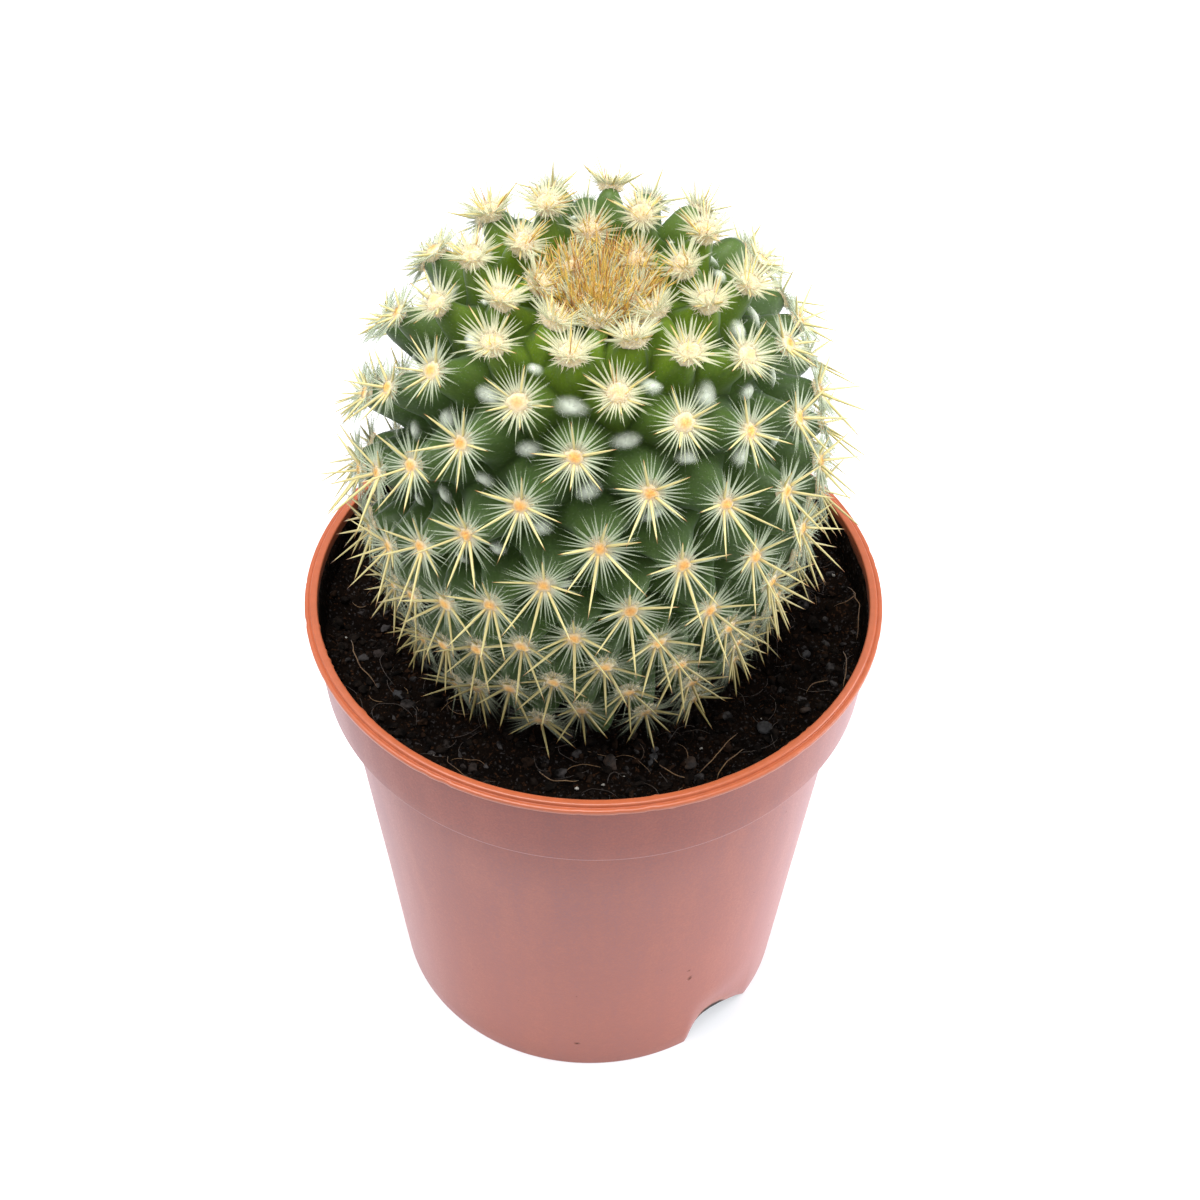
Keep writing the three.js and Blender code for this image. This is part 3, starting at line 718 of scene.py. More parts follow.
fibre_paths = [fibre_path(*(
    laid(*under_pixel(x, y, SOIL_LEVEL + lift)[:2], lift) for x, y, lift in knots)) for knots in SEEN_FIBRES]
dice = np.random.default_rng(41)
for _ in range(FIBRE_COUNT):
    radius, turn = scattered(dice, FIBRE_RING, None)
    heading, length = dice.uniform(0, FULL_TURN), dice.uniform(1.2, 5.0)
    knots = []
    for share in (-0.5, dice.uniform(-0.1, 0.1), 0.5):
        way = heading + share * 0.8
        lift = 0.08 + (dice.uniform(0.0, 0.35) if abs(share) < 0.2 else 0)
        x, y, _ = around(radius, turn, 0.0) + around(length * share, way, 0.0)
        knots.append(laid(x, y, lift))
    fibre_paths.append(fibre_path(*knots))
fibre_paths = np.array(fibre_paths)
for level_way in (0, 1):
    wander = cloud(fibre_paths.reshape(-1, 3), 1.1, 43 + level_way).reshape(-1, FIBRE_STEPS)
    fibre_paths[:, :, level_way] += 0.22 * wander
is_seen = np.arange(len(fibre_paths)) < len(SEEN_FIBRES)
thickness = np.where(is_seen, SEEN_FIBRE_THICKNESS, FIBRE_THICKNESS)[:, None]
taper = 1 - 0.6 * np.linspace(-1, 1, FIBRE_STEPS) ** 4
soil_fibres = strand_piece("soil_fibres", fibre_paths, thickness * taper, 5, straw=is_seen)

coat = new_material(soil_fibres, "root_fibre", Roughness=0.7, Sheen_Weight=0.2)
dark_fibre = mottled(coat, (0.035, 0.020, 0.012), (0.014, 0.008, 0.005), 900, 0.8, 0.4)
straw_fibre = coat.mix(dark_fibre["Patch"], (0.19, 0.105, 0.036), (0.10, 0.045, 0.016))
is_straw = coat.larger(coat.read("straw"), coat.fit(coat.read("lot"), 0.8, 0.9))
coat.feed(Base_Color=coat.mix(is_straw, dark_fibre["Color"], straw_fibre))
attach(soil_fibres, "root")


# Cactus body: firm green flesh under a waxy skin, grown as four-angled tubercles in spirals of 8 and 13.
# Each turns by the golden angle from the last one. The crown is sunken, and the foot tapers into the soil.
WIDEST_Z = 68.0
BODY_RADIUS = 20.65
CROWN_RISE = 25.8
CROWN_BEND = 0.945
CROWN_DIP = 7.2
CROWN_DIP_RADIUS = 8.4
FOOT_DROP = 45.0
FOOT_BEND = 1.395
LEAN_FORWARD = math.radians(5)
LEAN_RIGHT = math.radians(2)
BODY_X = -0.48
BODY_Y = -0.23
TUBERCLE_COUNT = 190
GOLDEN_ANGLE = math.radians(137.508)
FIRST_AZIMUTH = math.radians(116.7)
DESCENT = (151.6, -74.7, 16.5)
RIGHT_STEP = 8
LEFT_STEP = 13
VALLEY_PLACE = (RIGHT_STEP + LEFT_STEP) / 2
VALLEY_AZIMUTH = VALLEY_PLACE * GOLDEN_ANGLE - 8 * math.pi
TUBERCLE_HEIGHT = 4.8
YOUNG_HEIGHT = 1.3
FULL_SIZE_TURN = math.radians(55)
UPWARD_TILT = 0.2
SADDLE_RISE = 0.10
FLAT_TIP = 0.24
TIP_ROUNDING = 0.28
ARCHED_TIP = 0.15
SOFT_VALLEY = 0.55
AROUND = 28
RINGS = 12
YOUNG_GREEN = (0.122, 0.198, 0.010), (0.078, 0.145, 0.008)
OLD_AND_SHADED_GREEN = (0.061, 0.108, 0.024), (0.040, 0.077, 0.018)
WAX_BLOOM = (0.090, 0.125, 0.072)
GRAZING_SHEEN = (0.080, 0.110, 0.075)
PALE_DOT = (0.15, 0.20, 0.11)
VALLEY_SHADE_GREEN = (0.012, 0.028, 0.003)

lean = np.array(Matrix.Rotation(LEAN_RIGHT, 3, "Y") @ Matrix.Rotation(LEAN_FORWARD, 3, "X"))
up = np.array([0, 0, 1.0])


def turn_at(n):
    """Turn from the apex of the place n along the spiral."""
    t = np.asarray(n, float) / 100
    return np.radians(t * (DESCENT[0] + t * (DESCENT[1] + t * DESCENT[2])))


def skin(turn):
    """Radius and height of the surface through the tips at a turn from the apex."""
    above = turn < math.pi / 2
    bend = np.where(above, CROWN_BEND, FOOT_BEND)
    radius = BODY_RADIUS * np.sin(turn) ** bend
    height = np.where(above, CROWN_RISE, -FOOT_DROP) * np.abs(np.cos(turn)) ** bend
    return np.stack([radius, height - CROWN_DIP * np.exp(-((radius / CROWN_DIP_RADIUS) ** 2))], axis=-1)


def skin_slope(turn):
    """Outward direction of that surface, as radius and height."""
    down = skin(turn + 0.02) - skin(np.maximum(turn - 0.02, 0))
    return unit(np.stack([-down[..., 1], down[..., 0]], axis=-1))


def ease_between(value, low, high):
    """0 below low, 1 above high and smooth between."""
    share = np.clip((value - low) / (high - low), 0, 1)
    return share * share * (3 - 2 * share)


def grown(turn):
    """How far a tubercle has grown, from 0 at the apex to 1."""
    return ease_between(turn, 0, FULL_SIZE_TURN)


def skin_point(n, azimuth, depth):
    """Points under the surface through the tips, and the outward directions there."""
    slope = skin_slope(turn_at(n))
    place = skin(turn_at(n)) - slope * np.asarray(depth)[..., None]
    outward = outward_at(azimuth)
    point = outward * place[..., :1] + up * place[..., 1:]
    out = outward * slope[..., :1] + up * slope[..., 1:]
    return point @ lean.T + (BODY_X, BODY_Y, WIDEST_Z), out @ lean.T


def squared(vectors, axis):
    """The same directions turned square to an axis, with length 1."""
    return unit(vectors - axis * np.sum(vectors * axis, axis=1, keepdims=True))


number = np.arange(TUBERCLE_COUNT)
tip_turn = turn_at(number)
tip_grown = grown(tip_turn)
tip_azimuth = FIRST_AZIMUTH + number * GOLDEN_ANGLE
tip, tip_out = skin_point(number, tip_azimuth, np.zeros(TUBERCLE_COUNT))
tip_slope = skin_slope(tip_turn)
tip_down = (outward_at(tip_azimuth) * tip_slope[:, 1:] - up * tip_slope[:, :1]) @ lean.T
tip_axis = unit(tip_out - UPWARD_TILT * tip_down)
tip_down = squared(tip_down, tip_axis)
tip_side = np.cross(tip_axis, tip_down)

# At the back of the crown the tubercles arch over, and their areoles face outwards behind the domes
far_side = ease_between(tip[:, 1], 7.2, 8.8) * ease_between(tip[:, 2], 78.0, 82.0)
far_side = far_side * ease_between(number, 19, 29)

# Where four tubercles meet, halfway to the neighbours that stand 8 and 13 places on
apex, apex_out = skin_point(np.array([0.0]), np.array([0.0]), np.array([YOUNG_HEIGHT]))
valley_first = -31
valley_number = np.arange(valley_first, TUBERCLE_COUNT)
valley_place = np.maximum(valley_number + VALLEY_PLACE, 0.01)
valley_depth = YOUNG_HEIGHT + (TUBERCLE_HEIGHT - YOUNG_HEIGHT) * grown(turn_at(valley_place))
valley_turn = FIRST_AZIMUTH + valley_number * GOLDEN_ANGLE + VALLEY_AZIMUTH
valley, valley_out = skin_point(valley_place, valley_turn, valley_depth)
at_apex = valley_number + VALLEY_PLACE <= 0
valley[at_apex] = apex[0]
valley_out[at_apex] = apex_out[0]

ring_share = np.linspace(0, 1, RINGS + 1)


def tubercle_profile(arched):
    """How far down from tip to valley each ring lies; an arched tubercle keeps a broad dome."""
    flat, rounding = FLAT_TIP + ARCHED_TIP * arched, TIP_ROUNDING + ARCHED_TIP * arched
    flank = (ring_share - flat) / (1 - flat)
    fall = (flank + np.sqrt(flank ** 2 + rounding ** 2)) / 2
    fall = (fall - fall[0]) / (fall[-1] - fall[0])
    return fall + SOFT_VALLEY * (fall ** 2 * (3 - 2 * fall) - fall)


def evened(ring, reach=2):
    """Values round a ring, each averaged with its neighbours, which rounds the corners off."""
    return sum(np.roll(ring, step, axis=0) for step in range(-reach, reach + 1)) / (2 * reach + 1)


edge_share = np.arange(AROUND // 4)[:, None] / (AROUND // 4)
squareness = ease_between(ring_share[1:], 0.15, 1.0)[:, None, None]
near_seam = ease_between(ring_share[1:], 0.72, 1.0)[:, None]
corner_share = np.abs(np.cos(turns(AROUND) * 2))
patch_depth = np.append(0, ring_share[1:, None] ** 1.8 * (0.72 + 0.28 * corner_share))
patch_ring = np.append(0, np.repeat(ring_share[1:], AROUND))
patch_faces = [[0, (i + 1) % AROUND + 1, i + 1] for i in range(AROUND)]
patch_faces += (ring_faces(RINGS, AROUND) + 1)[:, ::-1].tolist()
patches, patch_ages = [], []
for n in range(-10, TUBERCLE_COUNT):
    feet = np.array([n - RIGHT_STEP - LEFT_STEP, n - LEFT_STEP, n, n - RIGHT_STEP])
    if np.sum(feet + VALLEY_PLACE <= 0) > 2:
        continue
    foot_points, foot_outs = valley[feet - valley_first], valley_out[feet - valley_first]
    rim = []
    for i in range(4):
        start, end = foot_points[i], foot_points[(i + 1) % 4]
        out = unit(foot_outs[i] + foot_outs[(i + 1) % 4])
        saddle = SADDLE_RISE * np.linalg.norm(end - start)
        rim.append(start + (end - start) * edge_share + out * saddle * 4 * edge_share * (1 - edge_share))
    rim = np.concatenate(rim)
    if n < 0:
        axis = unit(np.sum(foot_outs, axis=0))
        top, age, arched = rim.mean(axis=0) + axis * 0.5, 0.0, 0
    else:
        axis, top, age, arched = tip_axis[n], tip[n], tip_turn[n] / math.pi, far_side[n]
    away = rim - top
    drop = away @ axis
    flat = away - drop[:, None] * axis
    reach = np.linalg.norm(flat, axis=1)
    round_reach = flat / (reach[:, None] + 1e-9) * reach.mean()
    soft_flat = evened(evened(flat)) * (1 - near_seam[:, :, None]) + flat * near_seam[:, :, None]
    soft_drop = evened(evened(drop)) * (1 - near_seam) + drop * near_seam
    spread = (round_reach * (1 - squareness) + soft_flat * squareness) * ring_share[1:, None, None]
    patch = top + spread + axis * (soft_drop * tubercle_profile(arched)[1:, None])[:, :, None]
    patches.append(np.concatenate([top[None], patch.reshape(-1, 3)]))
    patch_ages.append(np.full(len(patch_ring), age))
body_points, body_faces = repeated(patches, patch_faces)
body_ring = np.tile(patch_ring, len(patches))
ripple = (0.05 * cloud(body_points, 1.3, 51) + 0.025 * cloud(body_points, 0.5, 52)) * (body_ring < 0.999)
body_points = body_points + unit(body_points - (BODY_X, BODY_Y, WIDEST_Z - 4)) * ripple[:, None]
cactus_body = make_piece(
    "cactus_body", body_points, body_faces, depth=np.tile(patch_depth, len(patches)), age=patch_ages,
    ring=body_ring)
weld(cactus_body)
work = bmesh.new()
work.from_mesh(cactus_body.data)
bmesh.ops.recalc_face_normals(work, faces=work.faces)
bmesh.ops.holes_fill(work, edges=[edge for edge in work.edges if edge.is_boundary])
work.to_mesh(cactus_body.data)
work.free()

coat = new_material(
    cactus_body, "cactus_skin", Specular_IOR_Level=0.22, Subsurface_Weight=0.15,
    Subsurface_Radius=(0.4, 1.0, 0.15), Subsurface_Scale=0.0016)
age, depth, ring = coat.read("age"), coat.read("depth"), coat.read("ring")
young = mottled(coat, *YOUNG_GREEN, 380, 0.7, 0.25)["Color"]
old_and_shaded = mottled(coat, *OLD_AND_SHADED_GREEN, 300, 0.7, 0.25)["Color"]
# The flesh takes its old green with age, and also towards the sides and back of the body, where that darker
# green is painted shade.
aside = coat.add("Math", {0: coat.along("X")}, operation="ABSOLUTE")[0]
sides_and_back = coat.larger(coat.fit(aside, 8 * MM, 16 * MM), coat.fit(coat.along("Y"), 2 * MM, 10 * MM))
aged_and_shaded = coat.larger(coat.fit(age, 0.15, 0.34), coat.times(sides_and_back, 0.9))
bloom = coat.times(coat.fit(coat.noise(260, 5), 0.35, 0.7, 0.05, 0.42), coat.fit(depth, 0.7, 0.1))
bloom = coat.times(bloom, coat.fit(age, 0.15, 0.6, 0.25, 1.0))
colour = coat.mix(bloom, coat.mix(aged_and_shaded, young, old_and_shaded), WAX_BLOOM)
# Painted sheen: the skin is painted a pale grey-green where it is seen edge on.
colour = coat.mix(coat.fit(coat.edge_on(), 0.4, 1.0, 0.0, 0.65), colour, GRAZING_SHEEN)
dots = coat.add("TexVoronoi", {"Vector": coat.where(), "Scale": 3300.0, "Randomness": 0.8})["Distance"]
colour = coat.mix(coat.fit(dots, 0.26, 0.12, 0, 0.5), colour, PALE_DOT)
# Painted shade: the flesh is darkened towards the valleys and the seams between the tubercles.
valley_shade_share = coat.larger(coat.fit(depth, 0.3, 0.95, 0, 0.62), coat.fit(ring, 0.80, 1.0, 0, 0.72))
coat.feed(
    Base_Color=coat.mix(valley_shade_share, colour, VALLEY_SHADE_GREEN),
    Roughness=coat.larger(coat.fit(bloom, 0.0, 0.5, 0.42, 0.62), coat.fit(ring, 0.5, 0.9, 0.4, 1.0)),
    Normal=coat.bump(dots, 0.03, 0.6))
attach(cactus_body, "root")
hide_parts("cactus")


# Axil wool: loose white wool that grows in the valleys between the tubercles of the upper half,
# thick near the crown and worn away lower down. Each tuft is a thin soft mat under a few curly hairs.
AXIL_HAIRS = 14
AXIL_HAIR_RADIUS = 0.020
AXIL_STEPS = 3
AXIL_LIFT = 2.1
AXIL_SINK = 1.0
AXIL_RANGE = (8, 86)
MAT_REACH = 1.6
MAT_RISE = 0.55


def strokes(root, heading, length, steps, bend=0.0):
    """Paths of strands from their roots, bent more and more towards their tips."""
    t = np.linspace(0, 1, steps)[None, :, None]
    return root[:, None] + heading[:, None] * length[:, None, None] * t + bend * t * t


def wave(seed, count, steps, size):
    """Smooth sideways wander for each step of a hair, from its own random bends."""
    dice = np.random.default_rng(seed)
    bends = dice.normal(size=(count, 3, 3)) * size
    t = np.linspace(0, 1, steps)[None, :, None]
    arch, snake, slant = bends[:, :1], bends[:, 1:2], bends[:, 2:]
    return arch * t * (1 - t) * 4 + snake * np.sin(t * FULL_TURN) * 0.5 + slant * t * 0.6


axil_paths, mats = [], []
for n in range(*AXIL_RANGE):
    share = 1 - (n - AXIL_RANGE[0]) / (AXIL_RANGE[1] - AXIL_RANGE[0])
    size = (0.60 + 0.45 * share) * ease_between(n, 3, 20)
    dice = np.random.default_rng(600 + n)
    if size < 0.2 or dice.uniform() > 0.5 + 0.9 * share:
        continue
    spot, out = valley[n - valley_first], valley_out[n - valley_first]
    level = unit(np.cross(out, up))
    across = np.cross(out, level)
    lift = AXIL_LIFT - AXIL_SINK * ease_between(out[1], 0.1, 0.5)
    middle = spot + out * (lift - 0.4) * size
    long_way = dice.uniform(-0.45, 0.45)
    along_mat = level * math.cos(long_way) + across * math.sin(long_way)
    side_mat = np.cross(out, along_mat) * dice.uniform(0.55, 0.85)
    reach = MAT_REACH * size
    mat = low_mound(middle, out, along_mat * reach, side_mat * reach, MAT_RISE * size, 71)
    mats.append(mat + out * (0.08 * cloud(mat, 0.9, 72))[:, None])
    turn = dice.uniform(0, FULL_TURN, AXIL_HAIRS)[:, None]
    spread = 0.95 * size * np.sqrt(dice.uniform(size=AXIL_HAIRS))[:, None]
    root = middle + out * 0.4 * size + (along_mat * np.cos(turn) + side_mat * np.sin(turn)) * spread
    heading = unit(out * 0.3 + 0.9 * dice.normal(size=(AXIL_HAIRS, 3)))
    path = strokes(root, heading, dice.uniform(0.4, 1.0, AXIL_HAIRS) * size, AXIL_STEPS)
    axil_paths.append(path + wave(700 + n, AXIL_HAIRS, AXIL_STEPS, 0.2))
axil_wool = strand_piece("axil_wool", np.concatenate(axil_paths), AXIL_HAIR_RADIUS, 3)
axil_mats = make_piece("axil_mats", *repeated(mats, mound_faces), edge=np.tile(mound_edge, len(mats)))

# Strand colour: root, middle and tip colours along a strand, with each strand a little lighter or darker
# Dulling darkens strands by their worn mark: partly age, partly painted shade for spines low on the body.
strand_colour, given, result = new_group("strand_colour", {
    "Root": (1, 1, 1), "Middle": (1, 1, 1), "Tip": (1, 1, 1), "Root End": 0.3, "Tip Start": 0.8,
    "Unevenness": 0.2, "Dulling And Shade": 0.0}, {"Color": "NodeSocketColor"})
along = strand_colour.read("along")
to_middle = strand_colour.fit(along, 0.0, given["Root End"], way="LINEAR")
to_tip = strand_colour.fit(along, given["Tip Start"], 0.97, way="LINEAR")
lower = strand_colour.mix(to_middle, given["Root"], given["Middle"])
whole = strand_colour.mix(to_tip, lower, given["Tip"])
darker = strand_colour.mix(1.0, whole, (0.45, 0.42, 0.36), "MULTIPLY")
unlike = strand_colour.times(strand_colour.read("lot"), given["Unevenness"])
dulled_and_shaded = strand_colour.times(strand_colour.read("worn"), given["Dulling And Shade"])
uneven = strand_colour.mix(unlike, whole, darker)
strand_colour.fill(result, {"Color": strand_colour.mix(dulled_and_shaded, uneven, darker)})


def strand_tones(coat, root, middle, tip, root_end, tip_start, unevenness, dulling_and_shade=0.0):
    """The strand colour placed in a material with its own values."""
    return coat.add("Group", {
        "Root": root, "Middle": middle, "Tip": tip, "Root End": root_end, "Tip Start": tip_start,
        "Unevenness": unevenness, "Dulling And Shade": dulling_and_shade}, node_tree=strand_colour.tree)["Color"]


# Painted glow: the loose hairs give off a faint light of their own, in place of light passing through the
# wool.
coat = new_material(
    axil_wool, "axil_fleece", Roughness=1.0, Specular_IOR_Level=0.1, Alpha=0.22,
    Emission_Color=(0.92, 0.95, 0.88), Emission_Strength=0.08)
coat.feed(Base_Color=strand_tones(
    coat, (0.90, 0.93, 0.86), (0.93, 0.95, 0.90), (0.94, 0.96, 0.92), 0.3, 0.7, 0.06))
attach(axil_wool, "root")

# Painted glow: the mats give off a faint light of their own too.
coat = new_material(
    axil_mats, "matted_fleece", Roughness=1.0, Specular_IOR_Level=0.05,
    Emission_Color=(0.90, 0.94, 0.84), Emission_Strength=0.14)
strays = coat.noise(2600, 5)
thinning = coat.fit(coat.read("edge"), 0.0, 1.0, 0.78, 0.0)
coat.feed(
    Base_Color=mottled(coat, (0.74, 0.79, 0.68), (0.66, 0.73, 0.59), 1400, 0.5, 0.05)["Color"],
    Alpha=coat.times(thinning, coat.fit(strays, 0.34, 0.60, 0.80, 1.0)), Normal=coat.bump(strays, 0.01))
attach(axil_mats, "root")


# Areole pads: the felted cushion on the tip of each tubercle, from which its spines grow.
# Young ones are cream-white balls of wool; with age they wear down to an orange-yellow felt with a cream rim.
LOWEST_SPINE = 47.5
PAD_RINGS = 5
PAD_AROUND = 14
FAR_SHIFT = 1.7
FAR_SINK = 0.6
FAR_TURN = 1.1
bearing = number[tip[:, 2] > LOWEST_SPINE]
areole = tip + (tip_down * FAR_SHIFT - tip_axis * FAR_SINK) * far_side[:, None]
areole_axis = unit(tip_axis + tip_down * FAR_TURN * far_side[:, None])
areole_down = squared(tip_down, areole_axis)
in_crown = 1 - ease_between(number, 1, 7)
pad_wear = ease_between(number, 20, 46)
pad_full = (1 - 0.5 * in_crown) * (1 - 0.3 * far_side)
pad_middle = areole + areole_axis * (0.02 - 0.16 * pad_wear)[:, None]
pad_width = (1.22 - 0.16 * pad_wear) * pad_full
pad_height = (0.92 - 0.52 * pad_wear) * pad_full

pad_faces = [[i + 1, (i + 1) % PAD_AROUND + 1, 0] for i in range(PAD_AROUND)]
pad_faces += (ring_faces(PAD_RINGS, PAD_AROUND) + 1)[:, ::-1].tolist()
pad_rim = np.append(0, np.repeat(np.linspace(0.2, 1, PAD_RINGS), PAD_AROUND))
pad_tilt = np.linspace(0, 1, PAD_RINGS + 1)[1:, None, None] * math.pi * 0.66
pad_turn = turns(PAD_AROUND)[:, None]
pads = []
for n in bearing:
    centre, axis = pad_middle[n], areole_axis[n]
    level = tip_side[n] * np.cos(pad_turn) + areole_down[n] * 0.88 * np.sin(pad_turn)
    pad = centre + np.sin(pad_tilt) * pad_width[n] * level + axis * np.cos(pad_tilt) * pad_height[n]
    pad = np.concatenate([[centre + axis * pad_height[n]], pad.reshape(-1, 3)])
    felted = 0.13 * cloud(pad, 0.33, 61) + 0.07 * cloud(pad, 0.15, 62)
    pads.append(pad + unit(pad - centre) * felted[:, None])
areole_pads = make_piece(
    "areole_pads", *repeated(pads, pad_faces), rim=np.tile(pad_rim, len(pads)),
    age=np.repeat(pad_wear[bearing], len(pad_rim)), crown=np.repeat(in_crown[bearing], len(pad_rim)))

# Painted glow: the felt gives off a faint warm light of its own, which brightens its shaded underside.
coat = new_material(
    areole_pads, "areole_felt", Roughness=1.0, Specular_IOR_Level=0.05,
    Emission_Color=(1.0, 0.88, 0.62), Emission_Strength=0.09,
    Subsurface_Weight=1.0, Subsurface_Scale=0.0010, Subsurface_Radius=(1, 0.9, 0.6))
rim_share, age, fuzz = coat.read("rim"), coat.read("age"), coat.noise(4200, 4, 0.7)
cream = mottled(coat, (0.70, 0.61, 0.42), (0.64, 0.51, 0.32), 1500, 0.9, 0.15)["Color"]
cosy = coat.mix(coat.fit(rim_share, 0.36, 0.05, 0, 0.6), cream, (0.66, 0.44, 0.20))
cosy = coat.mix(coat.fit(fuzz, 0.44, 0.60, 0, 0.40), cosy, (0.50, 0.38, 0.22))
golden = coat.mix(fuzz, (0.80, 0.52, 0.14), (0.62, 0.34, 0.07))
orange = coat.mix(coat.fit(fuzz, 0.38, 0.62), (0.78, 0.43, 0.115), (0.62, 0.27, 0.05))
worn = coat.times(coat.fit(age, 0.1, 0.9), coat.fit(rim_share, 0.36, 0.06))
coat.feed(
    Base_Color=coat.mix(worn, coat.mix(coat.read("crown"), cosy, golden), orange),
    Normal=coat.bump(fuzz, 0.10),
    Alpha=coat.larger(coat.fit(coat.edge_on(), 0.35, 0.95, 1.0, 0.1), coat.times(age, 0.4)))
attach(areole_pads, "root")


# Areole wool: the short fine hairs of the pads, long and dense on the young areoles near the crown.
# They root just inside the pad and point away from it, each bent in its own way.
HAIR_STEPS = 3
HAIR_RADIUS = 0.030
ROOT_INSET = 0.85


def spokes(n, turn):
    """Directions that turn round areole n, from its upper side."""
    turn = np.asarray(turn)[:, None]
    return -areole_down[n] * np.cos(turn) - tip_side[n] * np.sin(turn)


hair_paths = []
for n in bearing:
    wear, axis = pad_wear[n], areole_axis[n]
    count = int((300 - 225 * wear) * (1 - 0.6 * in_crown[n]))
    dice = np.random.default_rng(800 + n)
    radial = spokes(n, -math.pi / 2 - dice.uniform(0, FULL_TURN, count))
    lie = np.arccos(dice.uniform(-0.25, 1 - 0.55 * wear, count))[:, None]
    root = pad_middle[n] + axis * np.cos(lie) * pad_height[n] * ROOT_INSET
    root = root + radial * np.sin(lie) * pad_width[n] * ROOT_INSET
    heading = unit(axis * np.cos(lie) + radial * np.sin(lie) + 0.6 * dice.normal(size=(count, 3)))
    path = strokes(root, heading, dice.uniform(0.35, 0.95 - 0.35 * wear, count), HAIR_STEPS)
    hair_paths.append(path + wave(900 + n, count, HAIR_STEPS, 0.08))
areole_wool = strand_piece("areole_wool", np.concatenate(hair_paths), HAIR_RADIUS, 3)
# Painted glow: the hairs give off a faint warm light of their own, which brightens them in shadow.
coat = new_material(
    areole_wool, "areole_fleece", Roughness=1.0, Sheen_Weight=0.2, Specular_IOR_Level=0.1, Alpha=0.5,
    Emission_Color=(1.0, 0.92, 0.70), Emission_Strength=0.22)
coat.feed(Base_Color=strand_tones(
    coat, (0.76, 0.66, 0.44), (0.80, 0.74, 0.54), (0.82, 0.79, 0.64), 0.5, 0.7, 0.12))
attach(areole_wool, "root")


# Radial spines: three dozen or more glassy white bristles that ring each areole and spread nearly flat.
# The young ones are thicker and creamier and stand up more; the lowest are duller, partly with age and partly
# as painted shade.
RADIAL_LENGTH = 3.2
RADIAL_STEPS = 5
RADIAL_ROOT_RADIUS = 0.108
YOUNG_THICKNESS = 0.36
RADIAL_RING = 0.55
SPINE_TOP = cad_box[1].z / MM - 0.06
# Spines low on the body are marked worn and dulled darker, partly for age and partly as painted shade.
worn_and_shaded_low = ease_between(number, 70, 135)


def above_soil(root, direction, length, lowest):
    """Turns directions that would run into the soil to lie just over it, and keeps them under the top."""
    deepest = (lowest - root[:, 2]) / length
    highest = (SPINE_TOP - root[:, 2]) / length
    z = np.clip(direction[:, 2], np.minimum(deepest, 0.95), np.minimum(highest, 1.0))
    flat = np.sqrt(np.maximum(1 - z ** 2, 0)) / (np.hypot(direction[:, 0], direction[:, 1]) + 1e-9)
    return np.stack([direction[:, 0] * flat, direction[:, 1] * flat, z], axis=-1)


radial_paths, radial_radii, radial_number = [], [], []
for n in bearing:
    dice = np.random.default_rng(1000 + n)
    youth, axis = 1 - pad_wear[n], areole_axis[n]
    count = int(dice.integers(38, 45) + 4 * youth)
    turn = (np.arange(count) + dice.uniform(-0.35, 0.35, count)) * FULL_TURN / count
    opening = 80 - 14 * youth + dice.uniform(-11, 9, count) - dice.uniform(0, 30, count) * youth
    opening = np.radians(opening)[:, None]
    radial = spokes(n, turn)
    length = 0.84 + 0.16 * (1 - np.cos(turn)) / 2 + dice.uniform(-0.12, 0.10, count)
    length *= RADIAL_LENGTH * (0.72 + 0.28 * tip_grown[n]) * (1 - 0.3 * far_side[n])
    root = areole[n] + radial * RADIAL_RING + axis * 0.06
    direction = above_soil(root, axis * np.cos(opening) + radial * np.sin(opening), length, SOIL_LEVEL + 0.6)
    droop = (radial - axis * 0.6)[:, None] * dice.uniform(0.0, 0.34, count)[:, None, None] * 0.9
    radial_paths.append(strokes(root, direction, length, RADIAL_STEPS, droop))
    thickness = RADIAL_ROOT_RADIUS * (1 + YOUNG_THICKNESS * youth) * dice.uniform(0.8, 1.15, count)
    radial_radii.append(thickness[:, None] * (1 - np.linspace(0, 1, RADIAL_STEPS) ** 1.2 * 0.78))
    radial_number.append(np.full(count, n))
radial_paths = np.concatenate(radial_paths)
radial_paths[:, :, 2] = np.clip(radial_paths[:, :, 2], SOIL_LEVEL + 0.45, SPINE_TOP)
radial_number = np.concatenate(radial_number)
radial_spines = strand_piece(
    "radial_spines", radial_paths, np.concatenate(radial_radii), 3, worn=worn_and_shaded_low[radial_number],
    young=1 - pad_wear[radial_number])
# Painted glow: the spines give off a faint light of their own, in place of light passing through them.
coat = new_material(
    radial_spines, "glassy_spine", Roughness=0.4, IOR=1.4, Subsurface_Weight=0.3, Subsurface_Scale=0.0006,
    Subsurface_Radius=(1, 1, 0.9), Emission_Color=(0.80, 0.88, 0.72), Emission_Strength=0.06)
is_young = coat.read("young")
glassy_tones = strand_tones(
    coat, (0.90, 0.81, 0.58), (0.54, 0.62, 0.43), (0.35, 0.45, 0.26), 0.28, 0.45, 0.3, 0.8)
creamy_tones = strand_tones(
    coat, (0.88, 0.79, 0.54), (0.76, 0.75, 0.48), (0.52, 0.58, 0.30), 0.35, 0.6, 0.15)
fading = coat.larger(coat.fit(coat.read("along"), 0.1, 1.0, 0.70, 0.16), coat.times(is_young, 0.46))
coat.feed(
    Base_Color=coat.mix(is_young, glassy_tones, creamy_tones),
    Alpha=coat.times(fading, coat.fit(coat.read("worn"), 0.0, 1.0, 1.0, 0.5)))
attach(radial_spines, "root")


